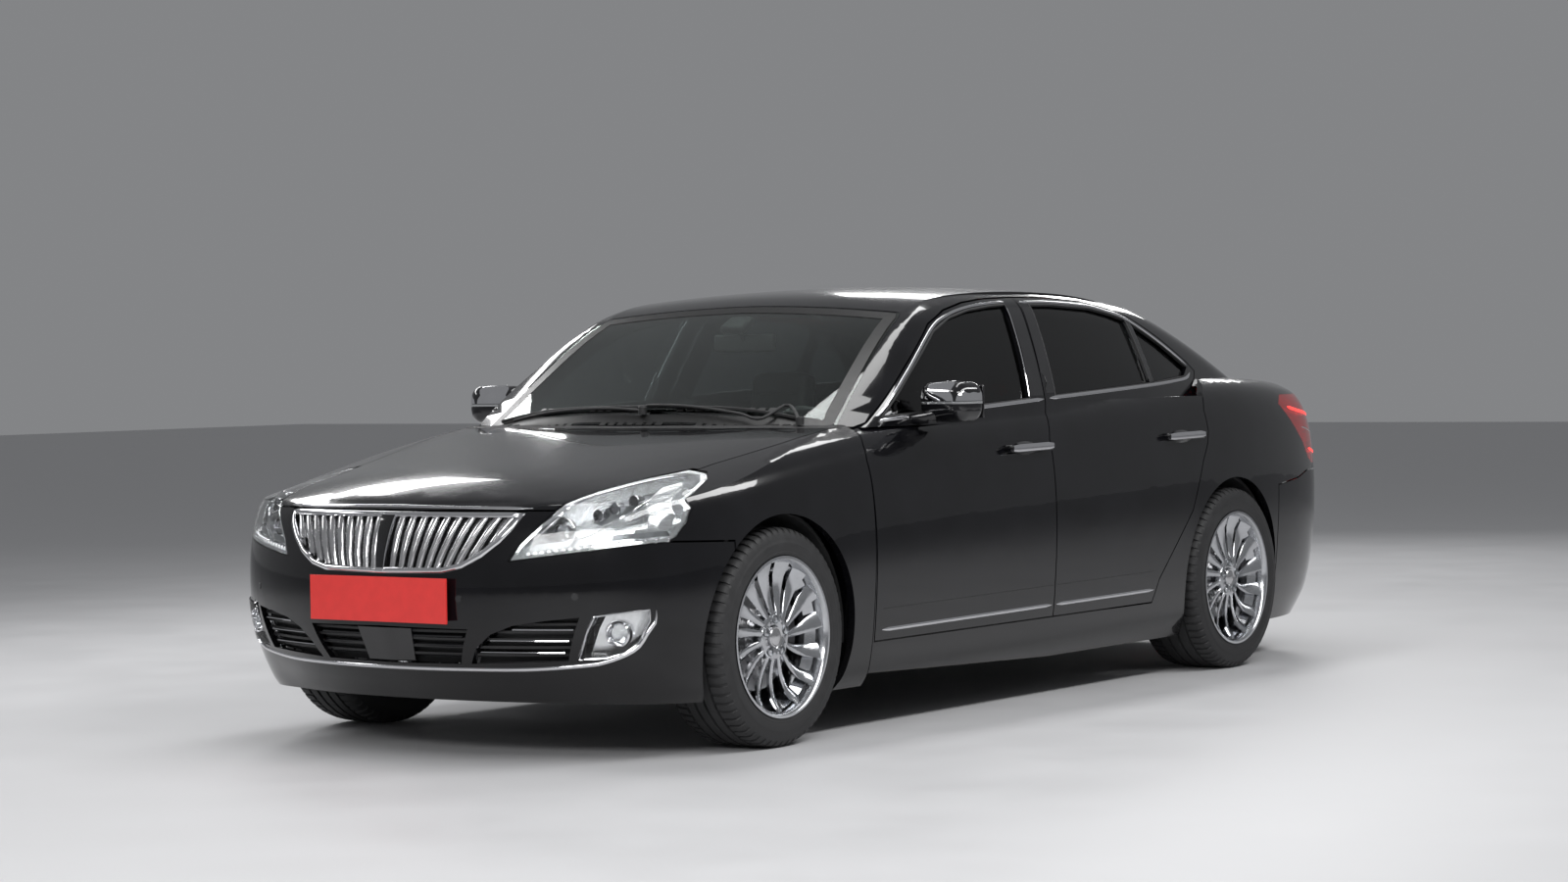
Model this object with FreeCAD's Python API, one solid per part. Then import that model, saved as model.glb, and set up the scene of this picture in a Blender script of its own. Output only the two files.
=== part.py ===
import FreeCAD, Part
import math
import os
from FreeCAD import Vector

os.makedirs("parts", exist_ok=True)

# Driving dimensions of the saloon in millimetres, nose toward -Y, left side toward +X
LENGTH = 5160.0
WIDTH = 1892.0
HEIGHT = 1490.0
WHEELBASE = 3045.0
FRONT_AXLE_Y = -1705.0
REAR_AXLE_Y = FRONT_AXLE_Y + WHEELBASE
TYRE_RADIUS = 351.5
TYRE_FRONT_WIDTH = 245.0
TYRE_REAR_WIDTH = 275.0
RIM_RADIUS = 258.0
FRONT_TRACK = 1610.0
REAR_TRACK = 1612.0
ARCH_RADIUS = 391.0
SKIN = 25.0
DOOR_SKIN = 20.0
DOOR_DEPTH = 80.0
PILLAR_OUT = 90.0
PILLAR_IN = 150.0
FRAME_DEPTH = 36.0
FRAME_PILLAR_OUT = 43.0
FRAME_PILLAR_IN = 85.0
GLASS = 5.0
GAP = 5.5
HINGE_X = 930.0
FRONT_HINGE_Y = -1157.0
REAR_HINGE_Y = 2.0

# Curves shared by the panels
PLAN = [(0, -2580), (250, -2562), (480, -2502), (680, -2412), (830, -2285), (905, -2110),
        (935, -1890), (943, -1600), (945, -1100), (945, -300), (945, 500), (943, 1100),
        (938, 1450), (918, 1780), (881, 2053), (817, 2266), (704, 2418), (503, 2520),
        (260, 2572), (0, 2590)]
LEVELS = [-.02, .05, .14, .28, .44, .6, .73, .83, .90, .95, .985, 1.02, 1.08, 1.2]
ROCKER = [(-2600, 200), (-2000, 195), (-1200, 192), (0, 205), (900, 220), (1700, 235), (2600, 250)]
SHOULDER = [(-2600, 785), (-2350, 835), (-2000, 890), (-1500, 955), (-1040, 1005), (30, 1061),
            (890, 1105), (1300, 1118), (1800, 1108), (2300, 1075), (2600, 1050)]
SIDE_IN = [(-.2, 125), (-.05, 62), (0, 45), (.06, 30), (.15, 19), (.35, 5), (.52, 0), (.66, 4), (.78, 14),
           (.86, 28), (.92, 48), (.96, 72), (.985, 100), (1.01, 140), (1.05, 180), (1.12, 195), (1.25, 200)]
NOSE_IN = [(-.2, 230), (-.05, 160), (0, 135), (.167, 52), (.37, 8), (.58, 0), (.75, 12), (.86, 30), (.93, 48),
           (.97, 66), (1.0, 88), (1.03, 125), (1.08, 160), (1.14, 175), (1.25, 180)]
TAIL_IN = [(-.2, 215), (-.05, 140), (0, 115), (.12, 55), (.25, 18), (.43, 0), (.62, 8), (.80, 36), (.90, 66),
           (.96, 96), (1.0, 130), (1.05, 175), (1.12, 190), (1.25, 195)]
TOP_LINE = [(-2800, 690), (-2490, 797), (-2370, 838), (-2000, 908), (-1600, 968), (-1300, 1010),
            (-1000, 1035), (-500, 1062), (0, 1085), (900, 1125), (1300, 1140), (1700, 1142),
            (2000, 1130), (2300, 1102), (2500, 1075), (2800, 1020)]
TOP_CROWN = [(-2800, 110), (-2400, 100), (-2000, 75), (-1600, 45), (-1200, 22), (-600, 15), (0, 15),
             (900, 15), (1300, 20), (1800, 35), (2300, 60), (2600, 75), (2800, 80)]
ROOF_LINE = [(-1700, 775), (-1500, 895), (-1300, 1010), (-1120, 1115), (-930, 1226), (-740, 1330),
             (-544, 1422), (-350, 1468), (-50, 1487), (250, 1490), (600, 1477), (900, 1444),
             (1130, 1400), (1400, 1317), (1650, 1225), (1880, 1132), (2100, 1040), (2300, 955)]
CABIN_HALF = [(-1800, 700), (-1300, 795), (-1000, 840), (-500, 862), (0, 868), (500, 862), (900, 845),
              (1300, 810), (1800, 745), (2300, 650)]
TUMBLE = [(800, -30), (950, -22), (1060, 0), (1160, 36), (1260, 78), (1360, 126), (1450, 172), (1560, 238)]

RAIL = [(-60, 84), (-15, 64), (0, 44), (10, 30), (25, 16), (45, 6), (75, 1), (120, 0), (650, 0)]

# Side outlines of the doors, as (y, z)
DOOR_F = [(-1188, 300), (-1192, 600), (-1197, 893), (-1180, 945), (-1145, 985), (-1080, 1014),
          (-800, 1190), (-545, 1342), (-400, 1390), (-250, 1417), (-100, 1431), (114, 1438),
          (22, 1061), (-41, 930), (-39, 300)]
DOOR_R = [(-33, 300), (-35, 930), (28, 1061), (120, 1438), (350, 1437), (622, 1424),
          (780, 1400), (910, 1366), (1100, 1280), (1270, 1188), (1312, 1156), (1285, 1128),
          (1180, 1075), (1135, 1008), (1137, 925), (1120, 880), (1074, 815), (981, 632),
          (838, 490), (735, 386), (690, 300)]
WIN_F = [(-1000, 1035), (-780, 1172), (-540, 1314), (-400, 1362), (-250, 1390), (-100, 1404),
         (12, 1410), (-78, 1078), (-500, 1058)]
WIN_R1 = [(112, 1086), (190, 1410), (350, 1410), (622, 1398), (770, 1376), (862, 1355), (862, 1118)]
WIN_R2 = [(900, 1120), (900, 1341), (1090, 1256), (1250, 1170), (1200, 1140)]


def smooth(points):
    """Natural cubic spline through (position, value) pairs."""
    n = len(points)
    x = [p[0] for p in points]
    y = [p[1] for p in points]
    h = [x[i + 1] - x[i] for i in range(n - 1)]
    a = [0.0] * n
    b = [1.0] * n
    c = [0.0] * n
    d = [0.0] * n
    for i in range(1, n - 1):
        a[i] = h[i - 1]
        b[i] = 2 * (h[i - 1] + h[i])
        c[i] = h[i]
        d[i] = 6 * ((y[i + 1] - y[i]) / h[i] - (y[i] - y[i - 1]) / h[i - 1])
    for i in range(1, n):
        m = a[i] / b[i - 1]
        b[i] -= m * c[i - 1]
        d[i] -= m * d[i - 1]
    k = [0.0] * n
    k[n - 1] = d[n - 1] / b[n - 1]
    for i in range(n - 2, -1, -1):
        k[i] = (d[i] - c[i] * k[i + 1]) / b[i]

    def at(t):
        if t <= x[0]:
            s = (y[1] - y[0]) / h[0] - h[0] * (2 * k[0] + k[1]) / 6
            return y[0] + s * (t - x[0])
        if t >= x[-1]:
            s = (y[-1] - y[-2]) / h[-1] + h[-1] * (2 * k[-1] + k[-2]) / 6
            return y[-1] + s * (t - x[-1])
        i = 0
        while t > x[i + 1]:
            i += 1
        u = t - x[i]
        w = x[i + 1] - t
        g = h[i]
        return (k[i] * w ** 3 + k[i + 1] * u ** 3) / (6 * g) + (y[i] / g - k[i] * g / 6) * w \
            + (y[i + 1] / g - k[i + 1] * g / 6) * u
    return at


rocker = smooth(ROCKER)
shoulder = smooth(SHOULDER)
side_in = smooth(SIDE_IN)
nose_in = smooth(NOSE_IN)
tail_in = smooth(TAIL_IN)
top_line = smooth(TOP_LINE)
top_crown = smooth(TOP_CROWN)
roof_line = smooth(ROOF_LINE)
cabin_half = smooth(CABIN_HALF)
tumble = smooth(TUMBLE)
rail_round = smooth(RAIL)


def grid_surface(rows, periodic=False):
    """Bicubic surface through rows of points; periodic closes each row."""
    nr = len(rows)
    nc = len(rows[0])
    us = [i / (nr - 1) for i in range(nr)]
    vs = [j / nc for j in range(nc + 1)] if periodic else [j / (nc - 1) for j in range(nc)]
    curves = []
    for r in rows:
        c = Part.BSplineCurve()
        c.interpolate(Points=r, Parameters=vs, PeriodicFlag=periodic)
        curves.append(c)
    cols = len(curves[0].getPoles())
    poles = None
    for j in range(cols):
        c = Part.BSplineCurve()
        c.interpolate(Points=[cv.getPole(j + 1) for cv in curves], Parameters=us)
        if poles is None:
            poles = [[None] * cols for _ in range(c.NbPoles)]
            kn = c.getKnots()
            mu = c.getMultiplicities()
            du = c.Degree
        for i, p in enumerate(c.getPoles()):
            poles[i][j] = p
    s = Part.BSplineSurface()
    c = curves[0]
    s.buildFromPolesMultsKnots(poles, mu, c.getMultiplicities(), kn, c.getKnots(), False, periodic, du, c.Degree)
    return s


def mirror(shape):
    return shape.mirror(Vector(0, 0, 0), Vector(1, 0, 0))


def box(x0, x1, y0, y1, z0, z1):
    return Part.makeBox(x1 - x0, y1 - y0, z1 - z0, Vector(x0, y0, z0))


def rounded(x0, x1, y0, y1, z0, z1, r):
    b = box(x0, x1, y0, y1, z0, z1)
    return b.makeFillet(r, b.Edges)


def cyl(p, d, r, h):
    return Part.makeCylinder(r, h, Vector(*p), Vector(*d))


def bar(p, q, r):
    a = Vector(*p)
    b = Vector(*q)
    return Part.makeCylinder(r, (b - a).Length, a, b - a)


def side_prism(pts, x0, x1):
    w = Part.makePolygon([Vector(x0, y, z) for y, z in pts + pts[:1]])
    return Part.Face(w).extrude(Vector(x1 - x0, 0, 0))


def plan_prism(pts, z0, z1):
    w = Part.makePolygon([Vector(x, y, z0) for x, y in pts + pts[:1]])
    return Part.Face(w).extrude(Vector(0, 0, z1 - z0))


def front_prism(pts, y0, y1):
    w = Part.makePolygon([Vector(x, y0, z) for x, z in pts + pts[:1]])
    return Part.Face(w).extrude(Vector(0, y1 - y0, 0))


def both(half_pts):
    """Closes a half outline given from x=0 to x=0 with its mirror image."""
    return half_pts + [(-x, y) for x, y in reversed(half_pts) if x > 0]


def grow(pts, d):
    """Parallel outline at distance d outside (negative: inside)."""
    n = len(pts)
    area = sum(pts[i][0] * pts[(i + 1) % n][1] - pts[(i + 1) % n][0] * pts[i][1] for i in range(n))
    s = 1.0 if area > 0 else -1.0
    out = []
    for i in range(n):
        p = pts[i - 1]
        q = pts[i]
        r = pts[(i + 1) % n]
        a = Vector(q[0] - p[0], q[1] - p[1], 0).normalize()
        b = Vector(r[0] - q[0], r[1] - q[1], 0).normalize()
        na = Vector(a.y, -a.x, 0) * s
        nb = Vector(b.y, -b.x, 0) * s
        m = (na + nb).normalize()
        k = d / max(0.45, m.dot(na))
        out.append((q[0] + m.x * k, q[1] + m.y * k))
    return out


def plan_curve():
    half = [Vector(x, y, 0) for x, y in PLAN]
    full = half + [Vector(-p.x, p.y, 0) for p in reversed(half[1:-1])]
    c = Part.BSplineCurve()
    c.interpolate(Points=full, PeriodicFlag=True)
    return c


def ring(inset):
    """Closed wall of the lower body, moved inward by inset."""
    c = plan_curve()
    pts = c.discretize(Number=57)[:-1]
    base = []
    for p in pts:
        tg = c.tangent(c.parameter(p))[0]
        nrm = Vector(tg.y, -tg.x, 0).normalize()
        if nrm.dot(Vector(p.x, p.y, 0)) < 0:
            nrm = -nrm
        base.append((p, nrm))
    rows = []
    for v in [-.2] + LEVELS + [1.25]:
        row = []
        for p, nrm in base:
            z = rocker(p.y) + v * (shoulder(p.y) - rocker(p.y))
            if v == -.2:
                z = 90 - 0.2 * inset
            if v == 1.25:
                z = 1500
            ends = nose_in(v) if p.y < 0 else tail_in(v)
            q = p - nrm * (nrm.x ** 2 * side_in(v) + nrm.y ** 2 * ends + inset)
            row.append(Vector(q.x, q.y, z))
        rows.append(row)
    f = grid_surface(rows, True).toShape()
    es = [e for e in f.Edges if e.BoundBox.ZLength < 1 and e.BoundBox.YLength > 1000]
    caps = [Part.Face(Part.Wire(e)) for e in es]
    for c in caps:
        c.reverse()
    s = Part.Solid(Part.Shell([f] + caps))
    if not s.isValid() or s.Volume < 0:
        raise ValueError("ring")
    return s


def under_top(drop):
    rows = []
    for i in range(11):
        x = -1000 + i * 200
        k = 0.5 * (x / 870) ** 2 + 0.5 * (x / 870) ** 4
        ys = [-2800 + j * 175 for j in range(33)]
        rows.append([Vector(x, y, top_line(y) - k * top_crown(y) - drop) for y in ys])
    return grid_surface(rows).toShape().extrude(Vector(0, 0, -2000))


cache = {}


def lower_body(inset):
    if inset not in cache:
        cache[inset] = ring(inset).common(under_top(inset)).Solids[0]
    return cache[inset]


def roof_point(x, y):
    """Point of the roof skin above the centre-line position y, at the side distance x."""
    k = (x / 700) ** 2
    sag = 0.0
    if y < -544:
        sag = 115 * min(1.4, (-544 - y) / 756)
    if y > 900:
        sag = -125 * min(1.4, (y - 900) / 980)
    crown = 34 if -544 <= y <= 900 else 22
    return y + sag * k, roof_line(y) - crown * k


def roof_height(x, y):
    c = y
    for i in range(6):
        c = c - (roof_point(x, c)[0] - y)
    return roof_point(x, c)[1]


def under_roof(inset, x_low=-910):
    ys = [p[0] for p in ROOF_LINE]
    n = 15 if x_low < -500 else 8
    rows = []
    for i in range(n):
        x = x_low + i * (910 - x_low) / (n - 1)
        row = []
        for y in ys:
            s = (roof_line(y + 5) - roof_line(y - 5)) / 10
            m = math.sqrt(1 + s * s)
            py, pz = roof_point(x, y)
            row.append(Vector(x, py + inset * s / m, pz - inset / m))
        rows.append(row)
    return grid_surface(rows).toShape().extrude(Vector(0, 0, -1500))


def wall(inset):
    rows = []
    for t in (650, 450, 300, 190, 120, 75, 45, 25, 10, 0, -15, -60):
        row = []
        for j in range(21):
            y = -1800 + j * 202
            z = roof_height(cabin_half(y) - 120, y) - t
            row.append(Vector(cabin_half(y) - tumble(z) - rail_round(t) - inset * 1.08, y, z))
        rows.append(row)
    return grid_surface(rows).toShape().extrude(Vector(-1100, 0, 0))


def cabin(inset):
    """Left half of the upper body from x = 150 outward."""
    k = 0.2 * inset
    c = under_roof(inset, 100).common(wall(inset))
    return c.common(box(150 - k, 1000, -1650 - k, 2200 + k, 860 - k, 1600)).Solids[0]


def save(name, shapes):
    solids = []
    for s in shapes:
        solids += [p for p in s.Solids if p.Volume > 200.0]
    for s in solids:
        if not s.isValid():
            print("NOT VALID", name, round(s.Volume))
    if len(solids) == 1:
        shape = solids[0]
    else:
        shape = Part.makeCompound(solids)
    shape.exportStep("parts/" + name + ".step")
    bb = shape.BoundBox
    print(name, len(solids), "x %.0f %.0f y %.0f %.0f z %.0f %.0f" % (bb.XMin, bb.XMax, bb.YMin, bb.YMax, bb.ZMin, bb.ZMax))


def clean(shape):
    return shape.removeSplitter()


# Master solids
outer = lower_body(0)
inner_skin = lower_body(SKIN)
inner_door_skin = ring(DOOR_SKIN)
inner_door = ring(DOOR_DEPTH)
inner_pillar_out = ring(PILLAR_OUT)
inner_pillar_in = ring(PILLAR_IN)
cab = cabin(0)
frame_wall = wall(FRAME_DEPTH)
cab_pillar_out = cabin(FRAME_PILLAR_OUT)
cab_pillar_in = cabin(FRAME_PILLAR_IN)

arches = [cyl((480, FRONT_AXLE_Y, TYRE_RADIUS), (1, 0, 0), ARCH_RADIUS, 600),
          cyl((480, REAR_AXLE_Y, TYRE_RADIUS), (1, 0, 0), ARCH_RADIUS, 600)]
arch_all = arches[0].fuse(arches[1])
left_half = box(0, 1100, -2700, 2700, 0, 1700)

# Front-view outlines (x, z) of the openings in the nose
GRILLE = both([(0, 586), (240, 590), (310, 606), (372, 640), (425, 684), (462, 728), (484, 777), (0, 777)])
LAMP = [(462, 630), (487, 678), (562, 760), (600, 815), (655, 866), (700, 886), (755, 880), (800, 860),
        (845, 822), (870, 782), (874, 740), (866, 696), (852, 681), (781, 673), (633, 652)]
LAMP_END = -1860.0
BARS = 10
LOWER_MID = both([(0, 305), (272, 308), (322, 418), (0, 423)])
LOWER_SIDE = [(308, 309), (340, 358), (394, 402), (466, 430), (560, 445), (664, 456), (612, 321)]
FOG = [(637, 322), (702, 461), (832, 478), (830, 440), (806, 378), (764, 342), (716, 326)]
LID_FACE = both([(0, 750), (508, 750), (548, 792), (556, 915), (0, 915)])
TAIL_SIDE = [(1838, 1018), (1900, 1052), (2700, 1052), (2700, 760), (2170, 768), (2110, 796), (2047, 862)]
OPEN_F = [(-1125, 362), (-1130, 870), (-1085, 950), (-985, 1030), (-760, 1160), (-530, 1290), (-390, 1335),
          (-240, 1362), (-90, 1376), (40, 1382), (-38, 1061), (-100, 930), (-100, 362)]
OPEN_R = [(28, 362), (28, 940), (90, 1061), (175, 1380), (350, 1380), (620, 1368), (760, 1345), (880, 1308),
          (1060, 1225), (1130, 1165), (1075, 1060), (1070, 900), (1010, 800), (925, 660), (800, 540),
          (680, 430), (640, 362)]
FENDER = [(-2420, 640), (-2231, 684), (-1960, 674), (-1960, 150), (-1203, 150), (-1203, 893), (-1186, 945),
          (-1151, 990), (-1151, 1200), (-2420, 1200)]
COWL = both([(0, -1350), (400, -1325), (700, -1257), (790, -1219), (790, -1190), (752, -1160), (740, -1178),
             (380, -1268), (0, -1298)])
HOOD = both([(0, -2540), (300, -2510), (570, -2440), (690, -2300), (712, -2080), (722, -1800), (768, -1500),
             (792, -1224), (700, -1262), (400, -1330), (0, -1355)])
LID = both([(0, 1884), (300, 1872), (520, 1835), (640, 1785), (668, 1772), (684, 1900), (692, 2200),
            (676, 2360), (560, 2480), (300, 2560), (0, 2575)])
SCREEN = both([(0, -1292), (380, -1262), (740, -1172), (752, -1152), (652, -600), (636, -568), (0, -552)])
BACKLIGHT = both([(0, 1150), (560, 1130), (600, 1160), (642, 1690), (622, 1755), (520, 1815), (300, 1852),
                  (0, 1866)])
ROOF = both([(0, -546), (630, -561), (641, -540), (642, 0), (638, 700), (624, 1128), (560, 1124), (0, 1144)])


def sides(name, shapes):
    save(name + "_left", shapes)
    save(name + "_right", [mirror(s) for s in shapes])


# Doors: skin, inner body, window frame
def door(outline, windows, handle_y, handle_z):
    wide = side_prism(outline, 500, 1100)
    low = outer.common(wide.common(box(500, 1100, -1400, 1500, 250, 1062)))
    rim = inner_door_skin.common(box(450, 1100, -1400, 1500, 240, 1100)).cut(side_prism(grow(outline, -35), 440, 1110))
    low = low.cut(inner_door).cut(rim)
    up = cab.common(wide.common(box(500, 1100, -1400, 1500, 1000, 1500))).cut(frame_wall)
    d = low.fuse(up)
    for w in windows:
        d = d.cut(side_prism(w, 300, 1100))
    grip = box(902, 958, handle_y, handle_y + 285, handle_z - 13, handle_z + 13)
    grip = grip.makeFillet(9, [e for e in grip.Edges if e.BoundBox.XMax > 955])
    grip = grip.cut(box(890, 944, handle_y + 28, handle_y + 257, handle_z - 20, handle_z + 20))
    return d.fuse(grip)


door_front = door(DOOR_F, [WIN_F], -355, 905)
door_rear = door(DOOR_R, [WIN_R1, WIN_R2], 778, 914)
door_rear = door_rear.cut(cyl((480, REAR_AXLE_Y, TYRE_RADIUS), (1, 0, 0), ARCH_RADIUS + 26, 600))
door_front = door_front.cut(box(600, 778, -1200, -1045, 985, 1070))


def relief(points, low, high, shift_x, shift_y):
    """Plan outline (x, y) carried up a slanting door edge."""
    corners = [Vector(x, y, low) for x, y in points]
    face = Part.Face(Part.makePolygon(corners + corners[:1]))
    return face.extrude(Vector(shift_x, shift_y, high - low))


# The front door's rear edge swings back past the rear door, so its inner corner is relieved
door_front = door_front.cut(relief([(840, -40), (560, -40), (560, -85)], 930, 1061, 0, 63))
door_front = door_front.cut(relief([(850, 23), (740, 23), (740, -7)], 1061, 1445, -169, 94))


def halves(shape, level):
    """Door shell and window frame, which meet at a level."""
    seam = 0.1
    return [shape.common(box(400, 1200, -1400, 1500, 200, level - seam)),
            shape.common(box(400, 1200, -1400, 1500, level + seam, 1600))]


sides("door_front", halves(door_front, 930))
sides("door_rear", halves(door_rear, 1061))

# Door glass, set in the middle of the frame's depth
pane_shell = cabin(14).common(box(300, 1100, -1300, 1500, 1000, 1500)).cut(cabin(14 + GLASS))
pane_front = pane_shell.common(side_prism(grow(WIN_F, -0.4), 300, 1100))
pane_rear = pane_shell.common(side_prism(grow(WIN_R1, -0.4), 300, 1100))
pane_quarter = pane_shell.common(side_prism(grow(WIN_R2, -0.4), 300, 1100))
sides("glass_front", [pane_front])
sides("glass_rear", [pane_rear, pane_quarter])

# Windscreen and rear window
screen_shell = under_roof(0).cut(under_roof(GLASS + 1))
save("windscreen", [screen_shell.common(plan_prism(SCREEN, 900, 1600))])
save("rear_window", [screen_shell.common(plan_prism(BACKLIGHT, 900, 1600))])

# Roof skin
roof = under_roof(0).common(plan_prism(ROOF, 1200, 1600)).cut(under_roof(18))
save("roof", [roof])

# Body side: rear quarter, pillars, sill and the inner frame behind the doors
door_holes = side_prism(grow(DOOR_F, GAP), 300, 1100).fuse(side_prism(grow(DOOR_R, GAP), 300, 1100))


def skin_part(region, inner=None):
    """Piece of the lower body's skin inside a region."""
    return outer.common(region).cut(inner or inner_skin)


quarter_zone = side_prism([(-1296, 196), (-1296, 990), (-1203, 990), (-1000, 1014), (0, 1075), (900, 1110),
                           (1300, 1300), (2600, 1300), (2600, 749), (2080, 745), (1960, 720), (1736, 700),
                           (1736, 150), (0, 150)], 500, 1100)
lid_hole = plan_prism(grow(LID, GAP), 700, 1400)
pocket = door_holes.common(box(500, 1100, -1300, 1500, 200, 1200)).cut(inner_pillar_out)
front_pocket = side_prism(grow(FENDER, 4), 450, 1110).cut(inner_skin)
rear_inside = inner_skin.common(box(500, 1110, 905, 2700, 90, 1400))
sill_inside = inner_skin.common(box(500, 860, -1400, 1740, 90, 196))
side_low = outer.common(quarter_zone).cut(inner_pillar_in)
side_low = side_low.cut(pocket)
side_low = side_low.cut(front_pocket)
side_low = side_low.cut(rear_inside)
openings = side_prism(OPEN_F, 300, 1100).fuse(side_prism(OPEN_R, 300, 1100))
side_low = side_low.cut(openings)
side_low = side_low.cut(arch_all).cut(lid_hole)
side_low = side_low.cut(front_prism(grow(LID_FACE, GAP), 2150, 2700))
side_low = side_low.cut(side_prism(grow(TAIL_SIDE, 0.3), 569.7, 1100))
pillars = cab.common(box(500, 1100, -1600, 1905, 1003, 1600)).cut(cab_pillar_in)
pocket_up = door_holes.common(box(450, 1100, -1300, 1500, 980, 1600)).cut(cab_pillar_out)
pillars = pillars.cut(pocket_up)
pillars = pillars.cut(plan_prism(grow(SCREEN, 1), 800, 1600)).cut(plan_prism(grow(BACKLIGHT, 1), 800, 1600))
pillars = pillars.cut(plan_prism(grow(ROOF, 1), 1100, 1600))
pillars = pillars.cut(openings).cut(lid_hole).cut(front_pocket)
pillars = pillars.cut(pocket.common(box(450, 1100, -1300, 1500, 950, 1066)))
pillars = pillars.cut(box(400, 626, -1700, 700, 900, 1600))
side_low = side_low.cut(plan_prism(grow(BACKLIGHT, 1), 800, 1600)).cut(plan_prism(grow(SCREEN, 1), 800, 1600))
body_side = side_low.fuse(pillars).cut(plan_prism(grow(COWL, 0.3), 900, 1100))
body_side = max(body_side.Solids, key=lambda q: q.Volume)
sides("body_side", [body_side])

# Fenders
fender_zone = side_prism(FENDER, 0, 1100)
hood_hole = plan_prism(grow(HOOD, 5.2), 600, 1300)
lamp_hole = front_prism(grow(LAMP, 3), -2700, LAMP_END + 20)
fender = skin_part(fender_zone.common(left_half).cut(hood_hole).cut(lamp_hole).cut(arches[0]))
fender = fender.cut(front_prism(both([(0, 500), (510, 500), (510, 1200), (0, 1200)]), -2700, -2000))
fender = fender.cut(plan_prism(grow(COWL, 2), 900, 1100)).cut(plan_prism(grow(SCREEN, 4), 900, 1100))
fender = fender.cut(box(0, 500, -2700, -1000, 0, 1200)).cut(box(0, 780, -1250, -1100, 0, 960))
fender = max(fender.Solids, key=lambda q: q.Volume)
sides("fender", [fender])

# Hood and boot lid
hood_zone = plan_prism(HOOD, 783, 1300)
hood = skin_part(hood_zone)
for flip in (0, 1):
    side_lamp = front_prism(grow(LAMP, 5.4), -2700, LAMP_END + 9)
    hood = hood.cut(mirror(side_lamp) if flip else side_lamp)
hood = max(hood.Solids, key=lambda q: q.Volume)
save("hood", [hood])
lid_zone = plan_prism(LID, 905, 1300)
lid = skin_part(lid_zone)
lid_face = skin_part(front_prism(LID_FACE, 2300, 2700))
save("boot_lid", [lid.fuse(lid_face)])

# Bumpers
front_zone = side_prism([(-2700, 190), (-2700, 800), (-2390, 800), (-2231, 678), (-1966, 668), (-1966, 172)],
                        -1100, 1100)
fb = skin_part(front_zone).cut(arch_all).cut(mirror(arch_all))
for hole in (GRILLE, LOWER_MID, LAMP, LOWER_SIDE, FOG):
    h = front_prism(grow(hole, 3 if hole is LAMP else 0.3), -2700, LAMP_END + 20)
    fb = fb.cut(h)
    if hole in (LAMP, LOWER_SIDE, FOG):
        fb = fb.cut(mirror(h))
fb = fb.cut(plan_prism(grow(HOOD, 5.2), 780, 1300)).cut(box(-640, 640, -2700, -2300, 777.5, 900))
for s in (1, -1):
    fb = fb.fuse(box(s * 340 - 15, s * 340 + 15, -2530, -2475.3, 445, 475))
save("front_bumper", [fb])
rear_zone = side_prism([(1742, 150), (1742, 694), (1960, 714), (2080, 739), (2700, 743), (2700, 150)], -1100, 1100)
rb = skin_part(rear_zone).cut(arch_all).cut(mirror(arch_all))
rb = rb.cut(box(240, 480, 2300, 2700, 150, 300)).cut(box(-480, -240, 2300, 2700, 150, 300))
for s in (1, -1):
    rb = rb.fuse(box(s * 310 - 20, s * 310 + 20, 2480.3, 2540, 440, 475))
save("rear_bumper", [rb])

# Lamps
lens = outer.common(front_prism(LAMP, -2700, LAMP_END)).cut(lower_body(5))
save("headlamps", [lens, mirror(lens)])
house = lower_body(5.3).common(front_prism(LAMP, -2700, LAMP_END - 30))
house = house.cut(cyl((460, FRONT_AXLE_Y, TYRE_RADIUS), (1, 0, 0), ARCH_RADIUS + 16, 500))
hollow = front_prism(grow(LAMP, -9), -2700, LAMP_END - 50).cut(lower_body(110))
house = house.cut(hollow).cut(lower_body(118))
save("lamp_housings", [house, mirror(house)])
tail_zone = side_prism(TAIL_SIDE, 570, 1100)
tail = outer.common(tail_zone).cut(lower_body(60)).cut(lid_hole)
save("tail_lamps", [tail, mirror(tail)])


def nose(inset, low, high):
    """Light patch of the nose between x = -700 and 700, filled rearward."""
    rows = []
    marks = [-930, -860, -760, -640, -500, -340, -170, 0, 170, 340, 500, 640, 760, 860, 930]
    line = smooth_nose
    for k in range(5):
        z = low + (high - low) * k / 4
        row = []
        for x in marks:
            y = line(abs(x))
            v = (z - rocker(y)) / (shoulder(y) - rocker(y))
            g = (line(abs(x) + 2) - line(abs(x) - 2)) / 4 if x else 0.0
            m = math.sqrt(1 + g * g)
            d = (g / m) ** 2 * side_in(v) + nose_in(v) / m / m + inset
            row.append(Vector(x - (math.copysign(1, x) if x else 0) * d * g / m, y + d / m, z))
        rows.append(row)
    return grid_surface(rows).toShape().extrude(Vector(0, 500, 0))


smooth_nose = smooth([(-2, -2580), (0, -2580), (250, -2562), (480, -2502), (680, -2412), (830, -2285), (905, -2110)])

fog = nose(0, 280, 520).common(front_prism(FOG, -2700, -2150)).cut(nose(60, 270, 530))
save("fog_lamps", [fog, mirror(fog)])

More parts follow.
